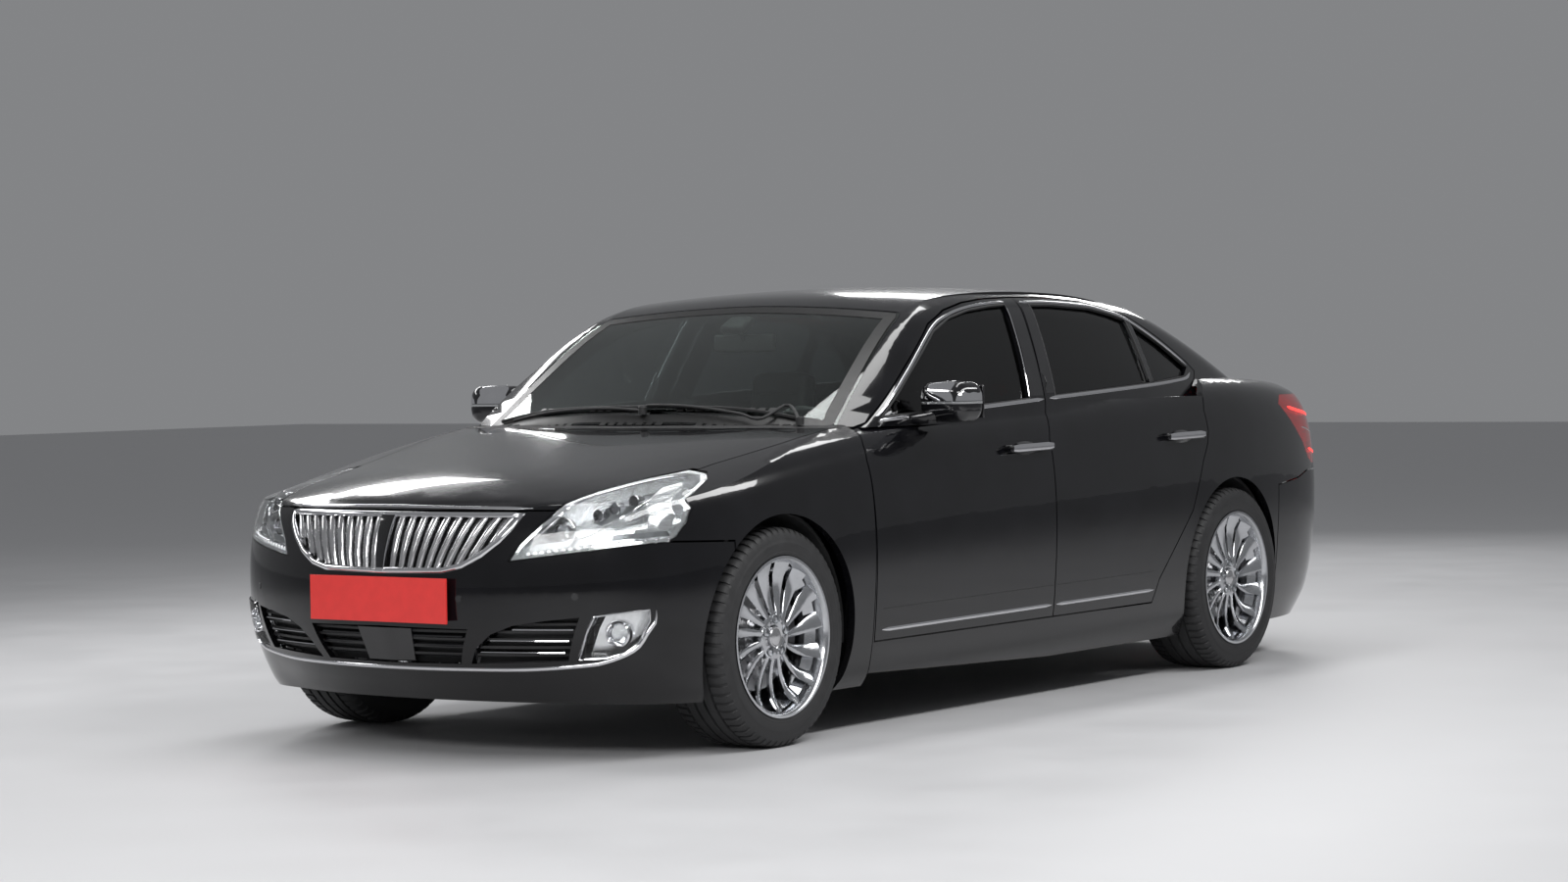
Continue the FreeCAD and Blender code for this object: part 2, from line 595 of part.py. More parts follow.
# Grille with bars and divider
front = front_prism(GRILLE, -2700, -2200)
inside = front_prism(grow(GRILLE, -17), -2700, -2200)
overlap = front_prism(grow(GRILLE, -14), -2700, -2200)
frame = nose(0, 560, 820).common(front).cut(nose(70, 560, 830)).cut(inside)
mesh_plate = nose(48, 570, 820).common(overlap).cut(nose(56, 560, 830))
bars = []
for i in range(BARS):
    foot = 38 + 33 * i
    head = 48 + 45 * i
    lean = [(foot - 10, 575), (foot + 10, 575), (head + 13, 790), (head - 13, 790)]
    bars.append(front_prism(lean, -2700, -2300))
    bars.append(front_prism([(-x, z) for x, z in reversed(lean)], -2700, -2300))
bar_set = Part.makeCompound(bars).common(nose(14, 570, 820)).cut(nose(52, 560, 830))
bar_set = bar_set.common(overlap)
vee = nose(3, 570, 820).common(front_prism([(-15, 598), (15, 598), (28, 770), (-28, 770)], -2700, -2200))
vee = vee.cut(nose(50, 560, 830))
save("grille", [frame.fuse([mesh_plate, bar_set, vee])])
low = []
for hole in (LOWER_MID, LOWER_SIDE):
    a = nose(40, 290, 480).common(front_prism(grow(hole, -0.1), -2700, -2200)).cut(nose(48, 280, 490))
    rows = [box(-700, 700, -2700, -2200, 310 + 24 * k, 318 + 24 * k) for k in range(1, 6)]
    b = Part.makeCompound(rows).common(nose(18, 290, 480)).cut(nose(44, 280, 490))
    low.append(a.fuse(b.common(front_prism(grow(hole, -0.1), -2700, -2200))))
save("lower_grilles", [low[0], low[1], mirror(low[1])])

# Floor pan with firewall, tunnel, boot floor and wheelhouses
floor = box(-740, 740, -1290, 1010, 205, 225).cut(box(-112, 112, -1300, 1020, 200, 230))
tunnel = box(-130, 130, -1290, 1010, 205, 400).cut(box(-112, 112, -1291, 1011, 204, 382))
firewall = box(-700, 700, -1325, -1290, 205, 960)
heel = box(-600, 600, 985, 1010, 205, 480).cut(box(-112, 112, 980, 1020, 200, 382))
rear_floor = box(-470, 470, 1010, 2440, 460, 480)
bulkhead = box(-640, 640, 1560, 1585, 480, 1060)
shelf = box(-620, 620, 1400, 1560, 1040, 1060)
rail_front = box(400, 460, -2440, -1325, 380, 520)
rail_rear = box(400, 460, 1010, 2440, 350, 460)
houses = []
for y in (FRONT_AXLE_Y, REAR_AXLE_Y):
    tub = cyl((468, y, TYRE_RADIUS), (1, 0, 0), ARCH_RADIUS + 14, 410)
    tub = tub.cut(cyl((480, y, TYRE_RADIUS), (1, 0, 0), ARCH_RADIUS + 2, 500))
    tub = tub.cut(box(400, 1000, y - 450, y + 450, -200, TYRE_RADIUS - 50))
    tub = tub.cut(box(400, 620, y - 450, y + 450, -200, TYRE_RADIUS + 80))
    houses.append(tub.common(lower_body(SKIN + 8)))
pan = floor.fuse([tunnel, firewall, heel, rear_floor, bulkhead, shelf, rail_front, mirror(rail_front),
                  rail_rear, mirror(rail_rear)] + houses + [mirror(h) for h in houses])
radiator_panel = box(-430, 430, -2390, -2360, 320, 730)
lamp_arm = box(430, 640, -2385, -2225, 560, 690).cut(front_prism(grow(LAMP, 0.3), -2700, LAMP_END))
lamp_post = box(425, 455, -2390, -2225, 480, 620)
front_beam = box(-440, 440, -2475, -2430, 440, 560)
rear_beam = box(-396, 396, 2430, 2480, 420, 560)
pan = pan.fuse([radiator_panel, front_beam, rear_beam, lamp_arm, mirror(lamp_arm), lamp_post, mirror(lamp_post)])
for s in (1, -1):
    pan = pan.cut(bar((s * 380, REAR_AXLE_Y, TYRE_RADIUS), (s * 500, REAR_AXLE_Y, TYRE_RADIUS), 45))
save("floor_pan", [pan])

# Scuttle below the windscreen
cowl = outer.common(plan_prism(COWL, 930, 1030)).cut(lower_body(12))
save("scuttle", [cowl])


# Wheels: tyre, rim with spokes, brake disc
def tyre(y, w):
    h = w / 2
    pts = [(258.5, -h + 11), (268, -h + 4), (300, -h), (330, -h + 5), (346, -h + 20), (TYRE_RADIUS, -h + 52),
           (TYRE_RADIUS, h - 52), (346, h - 20), (330, h - 5), (300, h), (268, h - 4), (258.5, h - 11)]
    c = Part.BSplineCurve()
    c.interpolate([Vector(a, r, 0) for r, a in pts])
    low = [Vector(h - 11, 258.5, 0), Vector(h - 12, 246.3, 0), Vector(-h + 12, 246.3, 0), Vector(-h + 11, 258.5, 0)]
    w1 = Part.Wire([c.toShape()] + [Part.makeLine(low[i], low[i + 1]) for i in range(3)])
    s = Part.Face(w1).revolve(Vector(0, 0, 0), Vector(1, 0, 0), 360)
    if s.Volume < 0:
        s.reverse()
    return s


def rim(w):
    """Outboard side toward +X, centre at the origin."""
    h = w / 2
    pts = [(-h + 4, 257), (-h + 10, 257), (-h + 12, 246), (-h + 44, 246), (-h + 62, 216), (h - 74, 216),
           (h - 50, 246), (h - 12, 246), (h - 10, 257), (h - 4, 257), (h - 4, 249), (h - 16, 238), (h - 46, 236),
           (h - 70, 207), (-h + 60, 207), (-h + 40, 237), (-h + 12, 238), (-h + 4, 250)]
    wire = Part.makePolygon([Vector(a, r, 0) for a, r in pts + pts[:1]])
    barrel = Part.Face(wire).revolve(Vector(0, 0, 0), Vector(1, 0, 0), 360)
    face = h - 34
    hub = cyl((face - 52, 0, 0), (1, 0, 0), 78, 44)
    bore = cyl((face - 60, 0, 0), (1, 0, 0), 33, 40)
    spokes = []
    for i in range(15):
        a0 = math.radians(24 * i)
        inner_a = a0
        outer_a = a0 + math.radians(9)
        pts = []
        for r, a, d in ((60, inner_a, -11), (130, (inner_a + outer_a) / 2, -9), (238, outer_a, -8),
                        (238, outer_a, 8), (130, (inner_a + outer_a) / 2, 9), (60, inner_a, 11)):
            pts.append(Vector(face - 38, r * math.cos(a) - d * math.sin(a), r * math.sin(a) + d * math.cos(a)))
        f = Part.Face(Part.makePolygon(pts + pts[:1]))
        spokes.append(f.extrude(Vector(26, 0, 0)))
    s = barrel.fuse([hub] + spokes)
    cone = Part.makeCone(78, 216, 22, Vector(face - 10, 0, 0), Vector(1, 0, 0))
    s = s.cut(cone.common(cyl((face - 10, 0, 0), (1, 0, 0), 212, 22)))
    s = s.cut(bore)
    for i in range(5):
        a = math.radians(72 * i)
        s = s.cut(cyl((face - 60, 56 * math.cos(a), 56 * math.sin(a)), (1, 0, 0), 8, 60))
        s = s.cut(cyl((face - 30, 56 * math.cos(a), 56 * math.sin(a)), (1, 0, 0), 13, 60))
    disc = cyl((face - 110, 0, 0), (1, 0, 0), 175, 30).cut(cyl((face - 115, 0, 0), (1, 0, 0), 92, 40))
    hat = cyl((face - 92, 0, 0), (1, 0, 0), 94, 40).cut(cyl((face - 96, 0, 0), (1, 0, 0), 82, 36))
    disc = disc.fuse(hat)
    disc = disc.cut(cyl((face - 120, 0, 0), (1, 0, 0), 33, 90))
    return s.fuse(disc)


def place(shape, x, y):
    s = shape.copy()
    if x < 0:
        s = mirror(s)
    s.translate(Vector(x, y, TYRE_RADIUS))
    return s


for corner, y, w, track in (("front", FRONT_AXLE_Y, TYRE_FRONT_WIDTH, FRONT_TRACK),
                            ("rear", REAR_AXLE_Y, TYRE_REAR_WIDTH, REAR_TRACK)):
    t = tyre(y, w)
    r = rim(w)
    for side, sx in (("left", 1), ("right", -1)):
        save("tyre_%s_%s" % (corner, side), [place(t, sx * track / 2, y)])
        save("rim_%s_%s" % (corner, side), [place(r, sx * track / 2, y)])


# Front knuckles with spindle and caliper
def caliper(face, r0):
    c = box(face - 150, face - 70, -52, 52, r0, r0 + 75)
    c = c.cut(box(face - 118, face - 72, -60, 60, r0 - 10, r0 + 62))
    return c


fx = FRONT_TRACK / 2
ff = TYRE_FRONT_WIDTH / 2 - 34
knuckle = cyl((ff - 175, 0, 0), (1, 0, 0), 62, 60)
spindle = cyl((ff - 120, 0, 0), (1, 0, 0), 32.7, 90)
post = box(ff - 170, ff - 130, -30, 30, -150, 190).common(cyl((0, 0, -160), (0, 0, 1), 81, 360))
arm = box(ff - 170, ff - 140, -160, 20, -60, -20)
cal = caliper(ff, 118)
cal.rotate(Vector(0, 0, 0), Vector(1, 0, 0), -90)
bridge = box(ff - 170, ff - 130, 20, 175, -25, 25)
kn = knuckle.fuse([spindle, post, arm, cal, bridge])
save("knuckle_left", [place(kn, fx, FRONT_AXLE_Y)])
save("knuckle_right", [place(kn, -fx, FRONT_AXLE_Y)])

# Front suspension: subframe, lower arms, struts, rack
fy = FRONT_AXLE_Y
cross = rounded(-380, 380, fy - 70, fy + 70, 215, 275, 20)
parts_f = [cross]
for s in (1, -1):
    parts_f.append(bar((s * 360, fy - 40, 245), (s * (fx + ff - 172), fy - 20, 245), 16))
    parts_f.append(bar((s * 360, fy + 60, 245), (s * (fx + ff - 172), fy + 15, 245), 16))
    parts_f.append(bar((s * 430, fy + 10, 300), (s * 430, fy + 10, 379.7), 28))
    parts_f.append(box(min(s * 440, s * 360), max(s * 440, s * 360), fy - 30, fy + 40, 240, 330))
for s in (1, -1):
    parts_f.append(box(s * 200 - 40, s * 200 + 40, fy - 40, fy + 40, 260, 359.7))
rack = bar((-350, fy + 120, 300), (350, fy + 120, 300), 24)
rack_foot = box(-60, 60, fy + 60, fy + 125, 240, 300)
fs = parts_f[0].fuse(parts_f[1:] + [rack, rack_foot])
save("front_suspension", [fs])

# Rear suspension: subframe, differential, half shafts, carriers, calipers
ry = REAR_AXLE_Y
rf = TYRE_REAR_WIDTH / 2 - 34
rx = REAR_TRACK / 2
cross = rounded(-350, 350, ry - 110, ry - 50, 290, 340, 15)
cross2 = rounded(-350, 350, ry + 70, ry + 130, 290, 340, 15)
diff = cyl((-110, ry, TYRE_RADIUS), (1, 0, 0), 95, 220)
ties = box(-60, 60, ry - 110, ry + 130, 300, 340)
parts_r = [cross2, diff, ties]
prop = bar((0, ry - 90, 330), (0, -1000, 320), 30)
for s in (1, -1):
    parts_r.append(bar((s * 100, ry, TYRE_RADIUS), (s * (rx + rf - 120), ry, TYRE_RADIUS), 26))
    hubc = cyl((s * (rx + rf - 125), ry, TYRE_RADIUS), (-s, 0, 0), 70, 50)
    parts_r.append(hubc)
    parts_r.append(cyl((s * (rx + rf - 126), ry, TYRE_RADIUS), (s, 0, 0), 32.7, 94))
    parts_r.append(bar((s * 340, ry - 80, 315), (s * (rx + rf - 150), ry - 20, 305), 18))
    parts_r.append(bar((s * 340, ry + 100, 315), (s * (rx + rf - 150), ry + 20, 305), 18))
    c = caliper(rf, 118)
    c.rotate(Vector(0, 0, 0), Vector(1, 0, 0), 90)
    c = c.fuse(box(rf - 165, rf - 128, -170, -30, -22, 22))
    parts_r.append(place(c, s * rx, ry))
    parts_r.append(bar((s * 340, ry - 80, 315), (s * 430, ry - 80, 315), 20))
    parts_r.append(bar((s * 430, ry - 80, 295), (s * 430, ry - 80, 349.7), 28))
rs = cross.fuse(parts_r + [prop])
save("rear_suspension", [rs])

# Engine as one plain block, and the exhaust
save("engine_block", [box(-290, 290, -2180, -1400, 360, 800)])
exhaust = bar((60, -1280, 245), (60, 1040, 245), 30)
link = bar((60, 1040, 245), (195, 1170, 250), 30).fuse(bar((195, 1170, 250), (195, 1900, 262), 30))
muffler = rounded(-300, 300, 1880, 2140, 220, 400, 40)
tips = []
for s in (1, -1):
    arm = bar((s * 280, 2080, 300), (s * 360, 2080, 300), 28)
    tip = box(s * 360 - 60, s * 360 + 60, 2050, 2500, 205, 265)
    tip = tip.makeFillet(20, [e for e in tip.Edges if e.BoundBox.YLength > 100])
    tip = tip.cut(box(s * 360 - 48, s * 360 + 48, 2440, 2600, 217, 253))
    neck = box(s * 360 - 30, s * 360 + 30, 2050, 2110, 240, 330)
    tips += [arm, tip, neck]
save("exhaust", [exhaust.fuse([link, muffler] + tips)])


# Seats
def chair(x0, x1, y, z):
    base = rounded(x0, x1, y - 500, y + 20, z, z + 190, 45)
    back = rounded(x0, x1, y - 90, y + 60, z + 90, z + 740, 45)
    back.rotate(Vector((x0 + x1) / 2, y, z + 120), Vector(1, 0, 0), -18)
    head = rounded((x0 + x1) / 2 - 130, (x0 + x1) / 2 + 130, y + 150, y + 240, z + 660, z + 850, 35)
    stalk = box((x0 + x1) / 2 - 60, (x0 + x1) / 2 + 60, y + 165, y + 205, z + 560, z + 700)
    foot = box(x0 + 60, x1 - 60, y - 430, y - 20, 225.3, z + 40)
    return base.fuse([back, head, stalk, foot])


save("front_seats", [chair(130, 640, -60, 320), chair(-640, -130, -60, 320)])
bench = rounded(-640, 640, 460, 980, 350, 540, 45)
bench_foot = box(-560, 560, 560, 940, 225.3, 380)
backrest = rounded(-640, 640, 890, 1030, 430, 1050, 45)
backrest.rotate(Vector(0, 960, 450), Vector(1, 0, 0), -20)
rests = [rounded(s * 360 - 120, s * 360 + 120, 1150, 1230, 960, 1160, 35) for s in (1, -1)]
save("rear_seat", [bench.fuse([backrest, bench_foot] + rests).cut(box(-131, 131, 400, 1300, 200, 401))
                   .cut(box(-701, 701, 984.7, 1600, 150, 480.3))
                   .cut(cyl((460, REAR_AXLE_Y, TYRE_RADIUS), (1, 0, 0), ARCH_RADIUS + 14.5, 300))
                   .cut(cyl((-460, REAR_AXLE_Y, TYRE_RADIUS), (-1, 0, 0), ARCH_RADIUS + 14.5, 300))])

# Dashboard with centre console
dash_line = [(-1285, 700), (-1285, 955), (-1150, 985), (-960, 950), (-900, 880), (-900, 780), (-1000, 700)]
dash = side_prism(dash_line, -660, 660)
console = rounded(-118, 118, -1050, 60, 400.3, 640, 30)
stack = box(-118, 118, -1100, -890, 500, 800)
column = cyl((0, -290, 0), (0, 1, 0), 32, 139.7)
column.rotate(Vector(0, 0, 0), Vector(1, 0, 0), 24)
column.translate(Vector(365, -700, 880))
save("dashboard", [dash.fuse([console, stack, column])])

# Steering wheel in its own frame, then leaned to the column
COLUMN = math.radians(24)
SW_C = Vector(365, -700, 880)
torus = Part.makeTorus(185, 16, Vector(0, 0, 0), Vector(0, 1, 0))
boss = cyl((0, -40, 0), (0, 1, 0), 62, 60)
sp = [box(-175, -40, -12, 8, -18, 18), box(40, 175, -12, 8, -18, 18), box(-18, 18, -12, 8, -175, -40)]
shaft = cyl((0, -150, 0), (0, 1, 0), 20, 130)
sw = torus.fuse([boss, shaft] + sp)
sw.rotate(Vector(0, 0, 0), Vector(1, 0, 0), 24)
sw.translate(SW_C)
save("steering_wheel", [sw])

# Door mirrors
shell = rounded(-105, 105, -62, 62, -68, 68, 42)
shell.rotate(Vector(0, 0, 0), Vector(0, 0, 1), -12)
shell.translate(Vector(985, -790, 1078))
stem = box(846, 930, -850, -800, 1006, 1038)
mir = shell.fuse(stem)
mir = mir.cut(door_front)
sides("mirror", [mir])

# Blank number plate
save("number_plate", [box(-280, 280, -2590, -2583, 436, 576).fuse(box(-60, 60, -2584, -2581.5, 470, 540))])
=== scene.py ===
import math

import bpy
import bmesh
from mathutils import Matrix, Vector
from mathutils.bvhtree import BVHTree
from mathutils.geometry import delaunay_2d_cdt


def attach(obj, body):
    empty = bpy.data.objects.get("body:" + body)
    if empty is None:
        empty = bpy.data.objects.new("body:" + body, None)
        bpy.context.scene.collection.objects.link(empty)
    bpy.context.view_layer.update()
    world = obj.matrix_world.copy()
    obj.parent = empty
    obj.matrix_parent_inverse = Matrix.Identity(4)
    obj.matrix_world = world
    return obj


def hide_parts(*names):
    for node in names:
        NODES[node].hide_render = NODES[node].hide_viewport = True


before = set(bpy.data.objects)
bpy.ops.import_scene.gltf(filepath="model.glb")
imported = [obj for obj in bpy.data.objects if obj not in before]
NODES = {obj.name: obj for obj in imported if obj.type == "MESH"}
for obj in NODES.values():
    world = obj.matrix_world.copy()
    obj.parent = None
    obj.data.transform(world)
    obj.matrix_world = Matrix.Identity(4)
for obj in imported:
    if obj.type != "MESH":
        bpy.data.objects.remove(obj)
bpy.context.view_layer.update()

# Key places of the saloon in metres, nose toward -Y, left side toward +X
FRONT_AXLE_Y = -1.705
REAR_AXLE_Y = 1.340
TYRE_R = 0.3515
TRACK = {"front": 0.805, "rear": 0.806}
TYRE_W = {"front": 0.245, "rear": 0.275}
SIDES = (("left", 1.0), ("right", -1.0))


# Camera
CAMERA_AT = (7.19026, -10.60728, 1.24931)
LENS_MM = 79.04
YAW, PITCH, ROLL = -0.612496, -0.0253991, -0.0159465
forward = Vector((math.cos(PITCH) * math.sin(YAW), math.cos(PITCH) * math.cos(YAW), math.sin(PITCH)))
right = forward.cross(Vector((0, 0, 1))).normalized()
up = right.cross(forward)
cam_right = right * math.cos(ROLL) + up * math.sin(ROLL)
cam_up = up * math.cos(ROLL) - right * math.sin(ROLL)
cam_data = bpy.data.cameras.new("camera")
cam_data.sensor_width = 36.0
cam_data.lens = LENS_MM
cam_data.clip_end = 100
camera = bpy.data.objects.new("camera", cam_data)
rot = Matrix((cam_right, cam_up, -forward)).transposed().to_4x4()
camera.matrix_world = Matrix.Translation(CAMERA_AT) @ rot
bpy.context.scene.collection.objects.link(camera)
bpy.context.scene.camera = camera


# Materials
DUST = (0.09, 0.085, 0.08, 1)
RELIEF = {"grain": ("ShaderNodeTexVoronoi", "Distance", {}),
    "weave": ("ShaderNodeTexWave", "Fac", {"Distortion": 0.3}),
    "noise": ("ShaderNodeTexNoise", "Fac", {"Detail": 3.0})}


def node(nt, kind, **inputs):
    """New node; an underscore in an input's name stands for a space."""
    n = nt.nodes.new(kind)
    for k, v in inputs.items():
        n.inputs[k.replace("_", " ")].default_value = v
    return n


def material(name, color, rough=0.4, metal=0.0, coat=0.0, coat_rough=0.03, vary=0.12, scale=30.0, bump=0.0,
        bump_scale=500.0, stretch=(1, 1, 1), pattern="noise", low_dust=0.0, **sockets):
    """Principled surface whose colour, roughness and relief vary over the object."""
    m = bpy.data.materials.new(name)
    m.use_nodes = True
    nt = m.node_tree
    link = nt.links.new
    p = nt.nodes["Principled BSDF"]
    coord = nt.nodes.new("ShaderNodeTexCoord")
    noise = node(nt, "ShaderNodeTexNoise", Scale=scale, Detail=6.0)
    mapping = node(nt, "ShaderNodeMapping", Scale=stretch)
    link(coord.outputs["Object"], mapping.inputs["Vector"])
    link(mapping.outputs["Vector"], noise.inputs["Vector"])
    ramp = nt.nodes.new("ShaderNodeValToRGB")
    low, high = ramp.color_ramp.elements
    low.position, high.position = 0.3, 0.7
    low.color = [c * (1 - vary) for c in color[:3]] + [1]
    high.color = [min(1, c * (1 + vary)) for c in color[:3]] + [1]
    link(noise.outputs["Fac"], ramp.inputs["Fac"])
    out_color = ramp.outputs["Color"]
    spread = node(nt, "ShaderNodeMapRange", To_Min=rough * 0.75, To_Max=min(1.0, rough * 1.25 + 0.01))
    link(noise.outputs["Fac"], spread.inputs["Value"])
    if low_dust:
        xyz = nt.nodes.new("ShaderNodeSeparateXYZ")
        link(coord.outputs["Object"], xyz.inputs["Vector"])
        fade = node(nt, "ShaderNodeMapRange", From_Min=0.45, From_Max=0.15, To_Max=low_dust)
        link(xyz.outputs["Z"], fade.inputs["Value"])
        dusty = nt.nodes.new("ShaderNodeMix")
        dusty.data_type = "RGBA"
        dusty.inputs["B"].default_value = DUST
        link(fade.outputs["Result"], dusty.inputs["Factor"])
        link(out_color, dusty.inputs["A"])
        out_color = dusty.outputs["Result"]
    link(out_color, p.inputs["Base Color"])
    link(spread.outputs["Result"], p.inputs["Roughness"])
    for k, v in dict(sockets, Metallic=metal, Coat_Weight=coat, Coat_Roughness=coat_rough).items():
        p.inputs[k.replace("_", " ")].default_value = v
    if bump:
        kind, output, extra = RELIEF[pattern]
        tex = node(nt, kind, Scale=bump_scale, **extra)
        link(mapping.outputs["Vector"], tex.inputs["Vector"])
        b = node(nt, "ShaderNodeBump", Strength=bump, Distance=0.001)
        link(tex.outputs[output], b.inputs["Height"])
        link(b.outputs["Normal"], p.inputs["Normal"])
    return m


PAINT = material("gloss_black_paint", (0.003, 0.003, 0.004), 0.16, 0, 0.75, 0.015, vary=0.3, scale=6,
    low_dust=0.06, bump=0.012, bump_scale=900, Specular_IOR_Level=0.12)
BLACK = material("gloss_black_plastic", (0.006, 0.006, 0.007), 0.09, 0, 0.6, vary=0.3, scale=12)
CHROME = material("polished_chrome", (0.78, 0.78, 0.80), 0.05, 1.0, vary=0.03, scale=20)
SATIN = material("satin_chrome", (0.62, 0.62, 0.63), 0.2, 1.0, vary=0.05, scale=60, bump=0.03,
    bump_scale=1500, stretch=(1, 1, 0.05))
ALLOY = material("bright_alloy", (0.56, 0.57, 0.59), 0.17, 1.0, 0.35, vary=0.05, scale=50, bump=0.03,
    bump_scale=1200)
# Darker copy of the bright alloy: in the wheels' bolt wells its darker colour is painted shade, in the lamps
# it is dark alloy
DARK_ALLOY_AND_SHADE = material("dark_alloy_and_painted_shade", (0.23, 0.24, 0.25), 0.32, 0.9, vary=0.12, scale=40, bump=0.05,
    bump_scale=900)
PLASTIC = material("grained_black_plastic", (0.016, 0.016, 0.017), 0.55, vary=0.2, scale=80, bump=0.35,
    bump_scale=1600, pattern="grain")
UNDER = material("underbody_coating", (0.022, 0.022, 0.023), 0.75, vary=0.35, scale=9, bump=0.5,
    bump_scale=220)
TREAD = material("moulded_tyre_rubber", (0.019, 0.019, 0.020), 0.62, vary=0.25, scale=26, bump=0.25,
    bump_scale=700)
TINT = material("tinted_side_glass", (0.035, 0.04, 0.042), 0.01, vary=0.05, scale=3,
    Transmission_Weight=1.0, IOR=1.45)
CLEAR = material("green_clear_glass", (0.78, 0.88, 0.84), 0.005, vary=0.02, scale=3,
    Transmission_Weight=1.0, IOR=1.45)
LENS = material("clear_lamp_lens", (0.97, 0.98, 0.98), 0.01, 0, 0.5, vary=0.01, scale=3,
    Transmission_Weight=1.0, IOR=1.06)
RED_LENS = material("red_lamp_lens", (0.55, 0.01, 0.012), 0.03, 0, 0.5, vary=0.15, scale=20,
    Transmission_Weight=0.55, IOR=1.45)
RED_GLOW = material("lit_tail_strip", (0.9, 0.05, 0.05), 0.3, vary=0.1, scale=60,
    Emission_Color=(1, 0.04, 0.03, 1), Emission_Strength=1.6)
LED = material("lamp_diode", (0.95, 0.95, 0.97), 0.15, vary=0.03, scale=90, Emission_Color=(1, 1, 1, 1),
    Emission_Strength=0.6)
FLUTED = material("fluted_reflector", (0.86, 0.87, 0.88), 0.09, 0.9, vary=0.06, scale=60, bump=0.25,
    bump_scale=260, pattern="weave")
PLATE = material("blank_red_plate", (0.78, 0.045, 0.04), 0.35, 0, 0.3, vary=0.05, scale=25, bump=0.04,
    bump_scale=900)
LEATHER = material("black_leather", (0.020, 0.019, 0.019), 0.42, vary=0.25, scale=14, bump=0.35,
    bump_scale=420, pattern="grain")
TRIM = material("soft_cabin_plastic", (0.028, 0.027, 0.027), 0.55, vary=0.2, scale=40, bump=0.3,
    bump_scale=900, pattern="grain")
WOOD = material("dark_wood_veneer", (0.10, 0.035, 0.014), 0.2, 0, 0.9, vary=0.5, scale=14,
    stretch=(1, 0.08, 1))
CARPET = material("cabin_carpet", (0.016, 0.016, 0.017), 0.95, vary=0.4, scale=160, bump=0.9, bump_scale=900)
CAST = material("cast_metal", (0.16, 0.16, 0.165), 0.5, 0.8, vary=0.25, scale=35, bump=0.4, bump_scale=300)
DISC = material("turned_brake_disc", (0.40, 0.40, 0.41), 0.28, 1.0, vary=0.12, scale=25, bump=0.1,
    bump_scale=900)
STEEL = material("exhaust_steel", (0.48, 0.47, 0.45), 0.3, 1.0, vary=0.15, scale=30, bump=0.08,
    bump_scale=400)
MIRROR = material("mirror_glass", (0.85, 0.87, 0.88), 0.01, 1.0, vary=0.01, scale=4)
SCREEN = material("display_glass", (0.006, 0.007, 0.009), 0.06, 0, 0.7, vary=0.2, scale=8)
FRIT = material("black_glass_border", (0.005, 0.005, 0.005), 0.35, vary=0.1, scale=60)


# Material slot of the record for each look, unless a piece names another
SLOTS = {"chrome_trim": (CHROME, SATIN), "black_plastic": (BLACK, PLASTIC, FRIT, SCREEN),
    "cabin_plastic": (TRIM, WOOD, CARPET), "seat_leather": (LEATHER,), "lamp_chrome": (FLUTED, DARK_ALLOY_AND_SHADE),
    "lamp_lens": (LENS, LED), "clear_glass": (MIRROR,), "tail_lens": (RED_GLOW, RED_LENS),
    "suspension_metal": (CAST, DISC), "alloy": (ALLOY,), "plate_red": (PLATE,), "tyre": (TREAD,)}
SLOT_OF = {look.name: slot for slot, looks in SLOTS.items() for look in looks}


# CAD surfaces
SHARP_DEG = 32


def smooth_group():
    """Welds a CAD mesh and shades it smooth, with sharp edges over SHARP_DEG."""
    g = bpy.data.node_groups.new("weld_and_smooth", "GeometryNodeTree")
    g.interface.new_socket("Geometry", in_out="INPUT", socket_type="NodeSocketGeometry")
    g.interface.new_socket("Geometry", in_out="OUTPUT", socket_type="NodeSocketGeometry")
    i, o = g.nodes.new("NodeGroupInput"), g.nodes.new("NodeGroupOutput")
    link = g.links.new
    drop = node(g, "GeometryNodeRemoveAttribute", Name="custom_normal")
    weld = node(g, "GeometryNodeMergeByDistance", Distance=0.00002)
    angle = g.nodes.new("GeometryNodeInputMeshEdgeAngle")
    test = g.nodes.new("FunctionNodeCompare")
    test.data_type, test.operation = "FLOAT", "GREATER_THAN"
    test.inputs["B"].default_value = math.radians(SHARP_DEG)
    face = g.nodes.new("GeometryNodeSetShadeSmooth")
    face.domain = "FACE"
    edge = node(g, "GeometryNodeSetShadeSmooth", Shade_Smooth=False)
    edge.domain = "EDGE"
    link(i.outputs[0], drop.inputs[0])
    link(drop.outputs[0], weld.inputs[0])
    link(weld.outputs[0], face.inputs[0])
    link(face.outputs[0], edge.inputs[0])
    link(angle.outputs["Unsigned Angle"], test.inputs["A"])
    link(test.outputs["Result"], edge.inputs["Selection"])
    link(edge.outputs[0], o.inputs[0])
    return g


CAD_LOOKS = {"roof": PAINT, "body_side": PAINT, "hood": PAINT, "boot_lid": PAINT, "fender": PAINT,
    "front_bumper": PAINT, "rear_bumper": PAINT, "door": PAINT, "mirror": BLACK, "floor_pan": UNDER,
    "glass": TINT, "windscreen": CLEAR, "rear_window": TINT, "headlamps": LENS, "fog_lamps": LENS,
    "lamp_housings": FLUTED, "tail_lamps": RED_LENS, "grille": SATIN, "lower_grilles": PLASTIC,
    "scuttle": PLASTIC, "number_plate": PLATE, "tyre": TREAD, "rim": ALLOY, "knuckle": CAST,
    "front_suspension": CAST, "rear_suspension": CAST, "engine_block": CAST, "exhaust": STEEL,
    "front_seats": LEATHER, "rear_seat": LEATHER, "dashboard": TRIM, "steering_wheel": LEATHER}
group = smooth_group()
for name, obj in NODES.items():
    look = next(m for k, m in CAD_LOOKS.items() if name.startswith(k))
    for slot in obj.material_slots:
        slot.material = look
    mod = obj.modifiers.new("smooth", "NODES")
    mod.node_group = group


# Studio
scene = bpy.context.scene
scene.view_settings.view_transform = "Standard"
world = bpy.data.worlds.new("studio")
scene.world = world
world.use_nodes = True
sky = world.node_tree.nodes["Background"]
sky.inputs["Color"].default_value = (0.60, 0.61, 0.63, 1)
sky.inputs["Strength"].default_value = 0.38


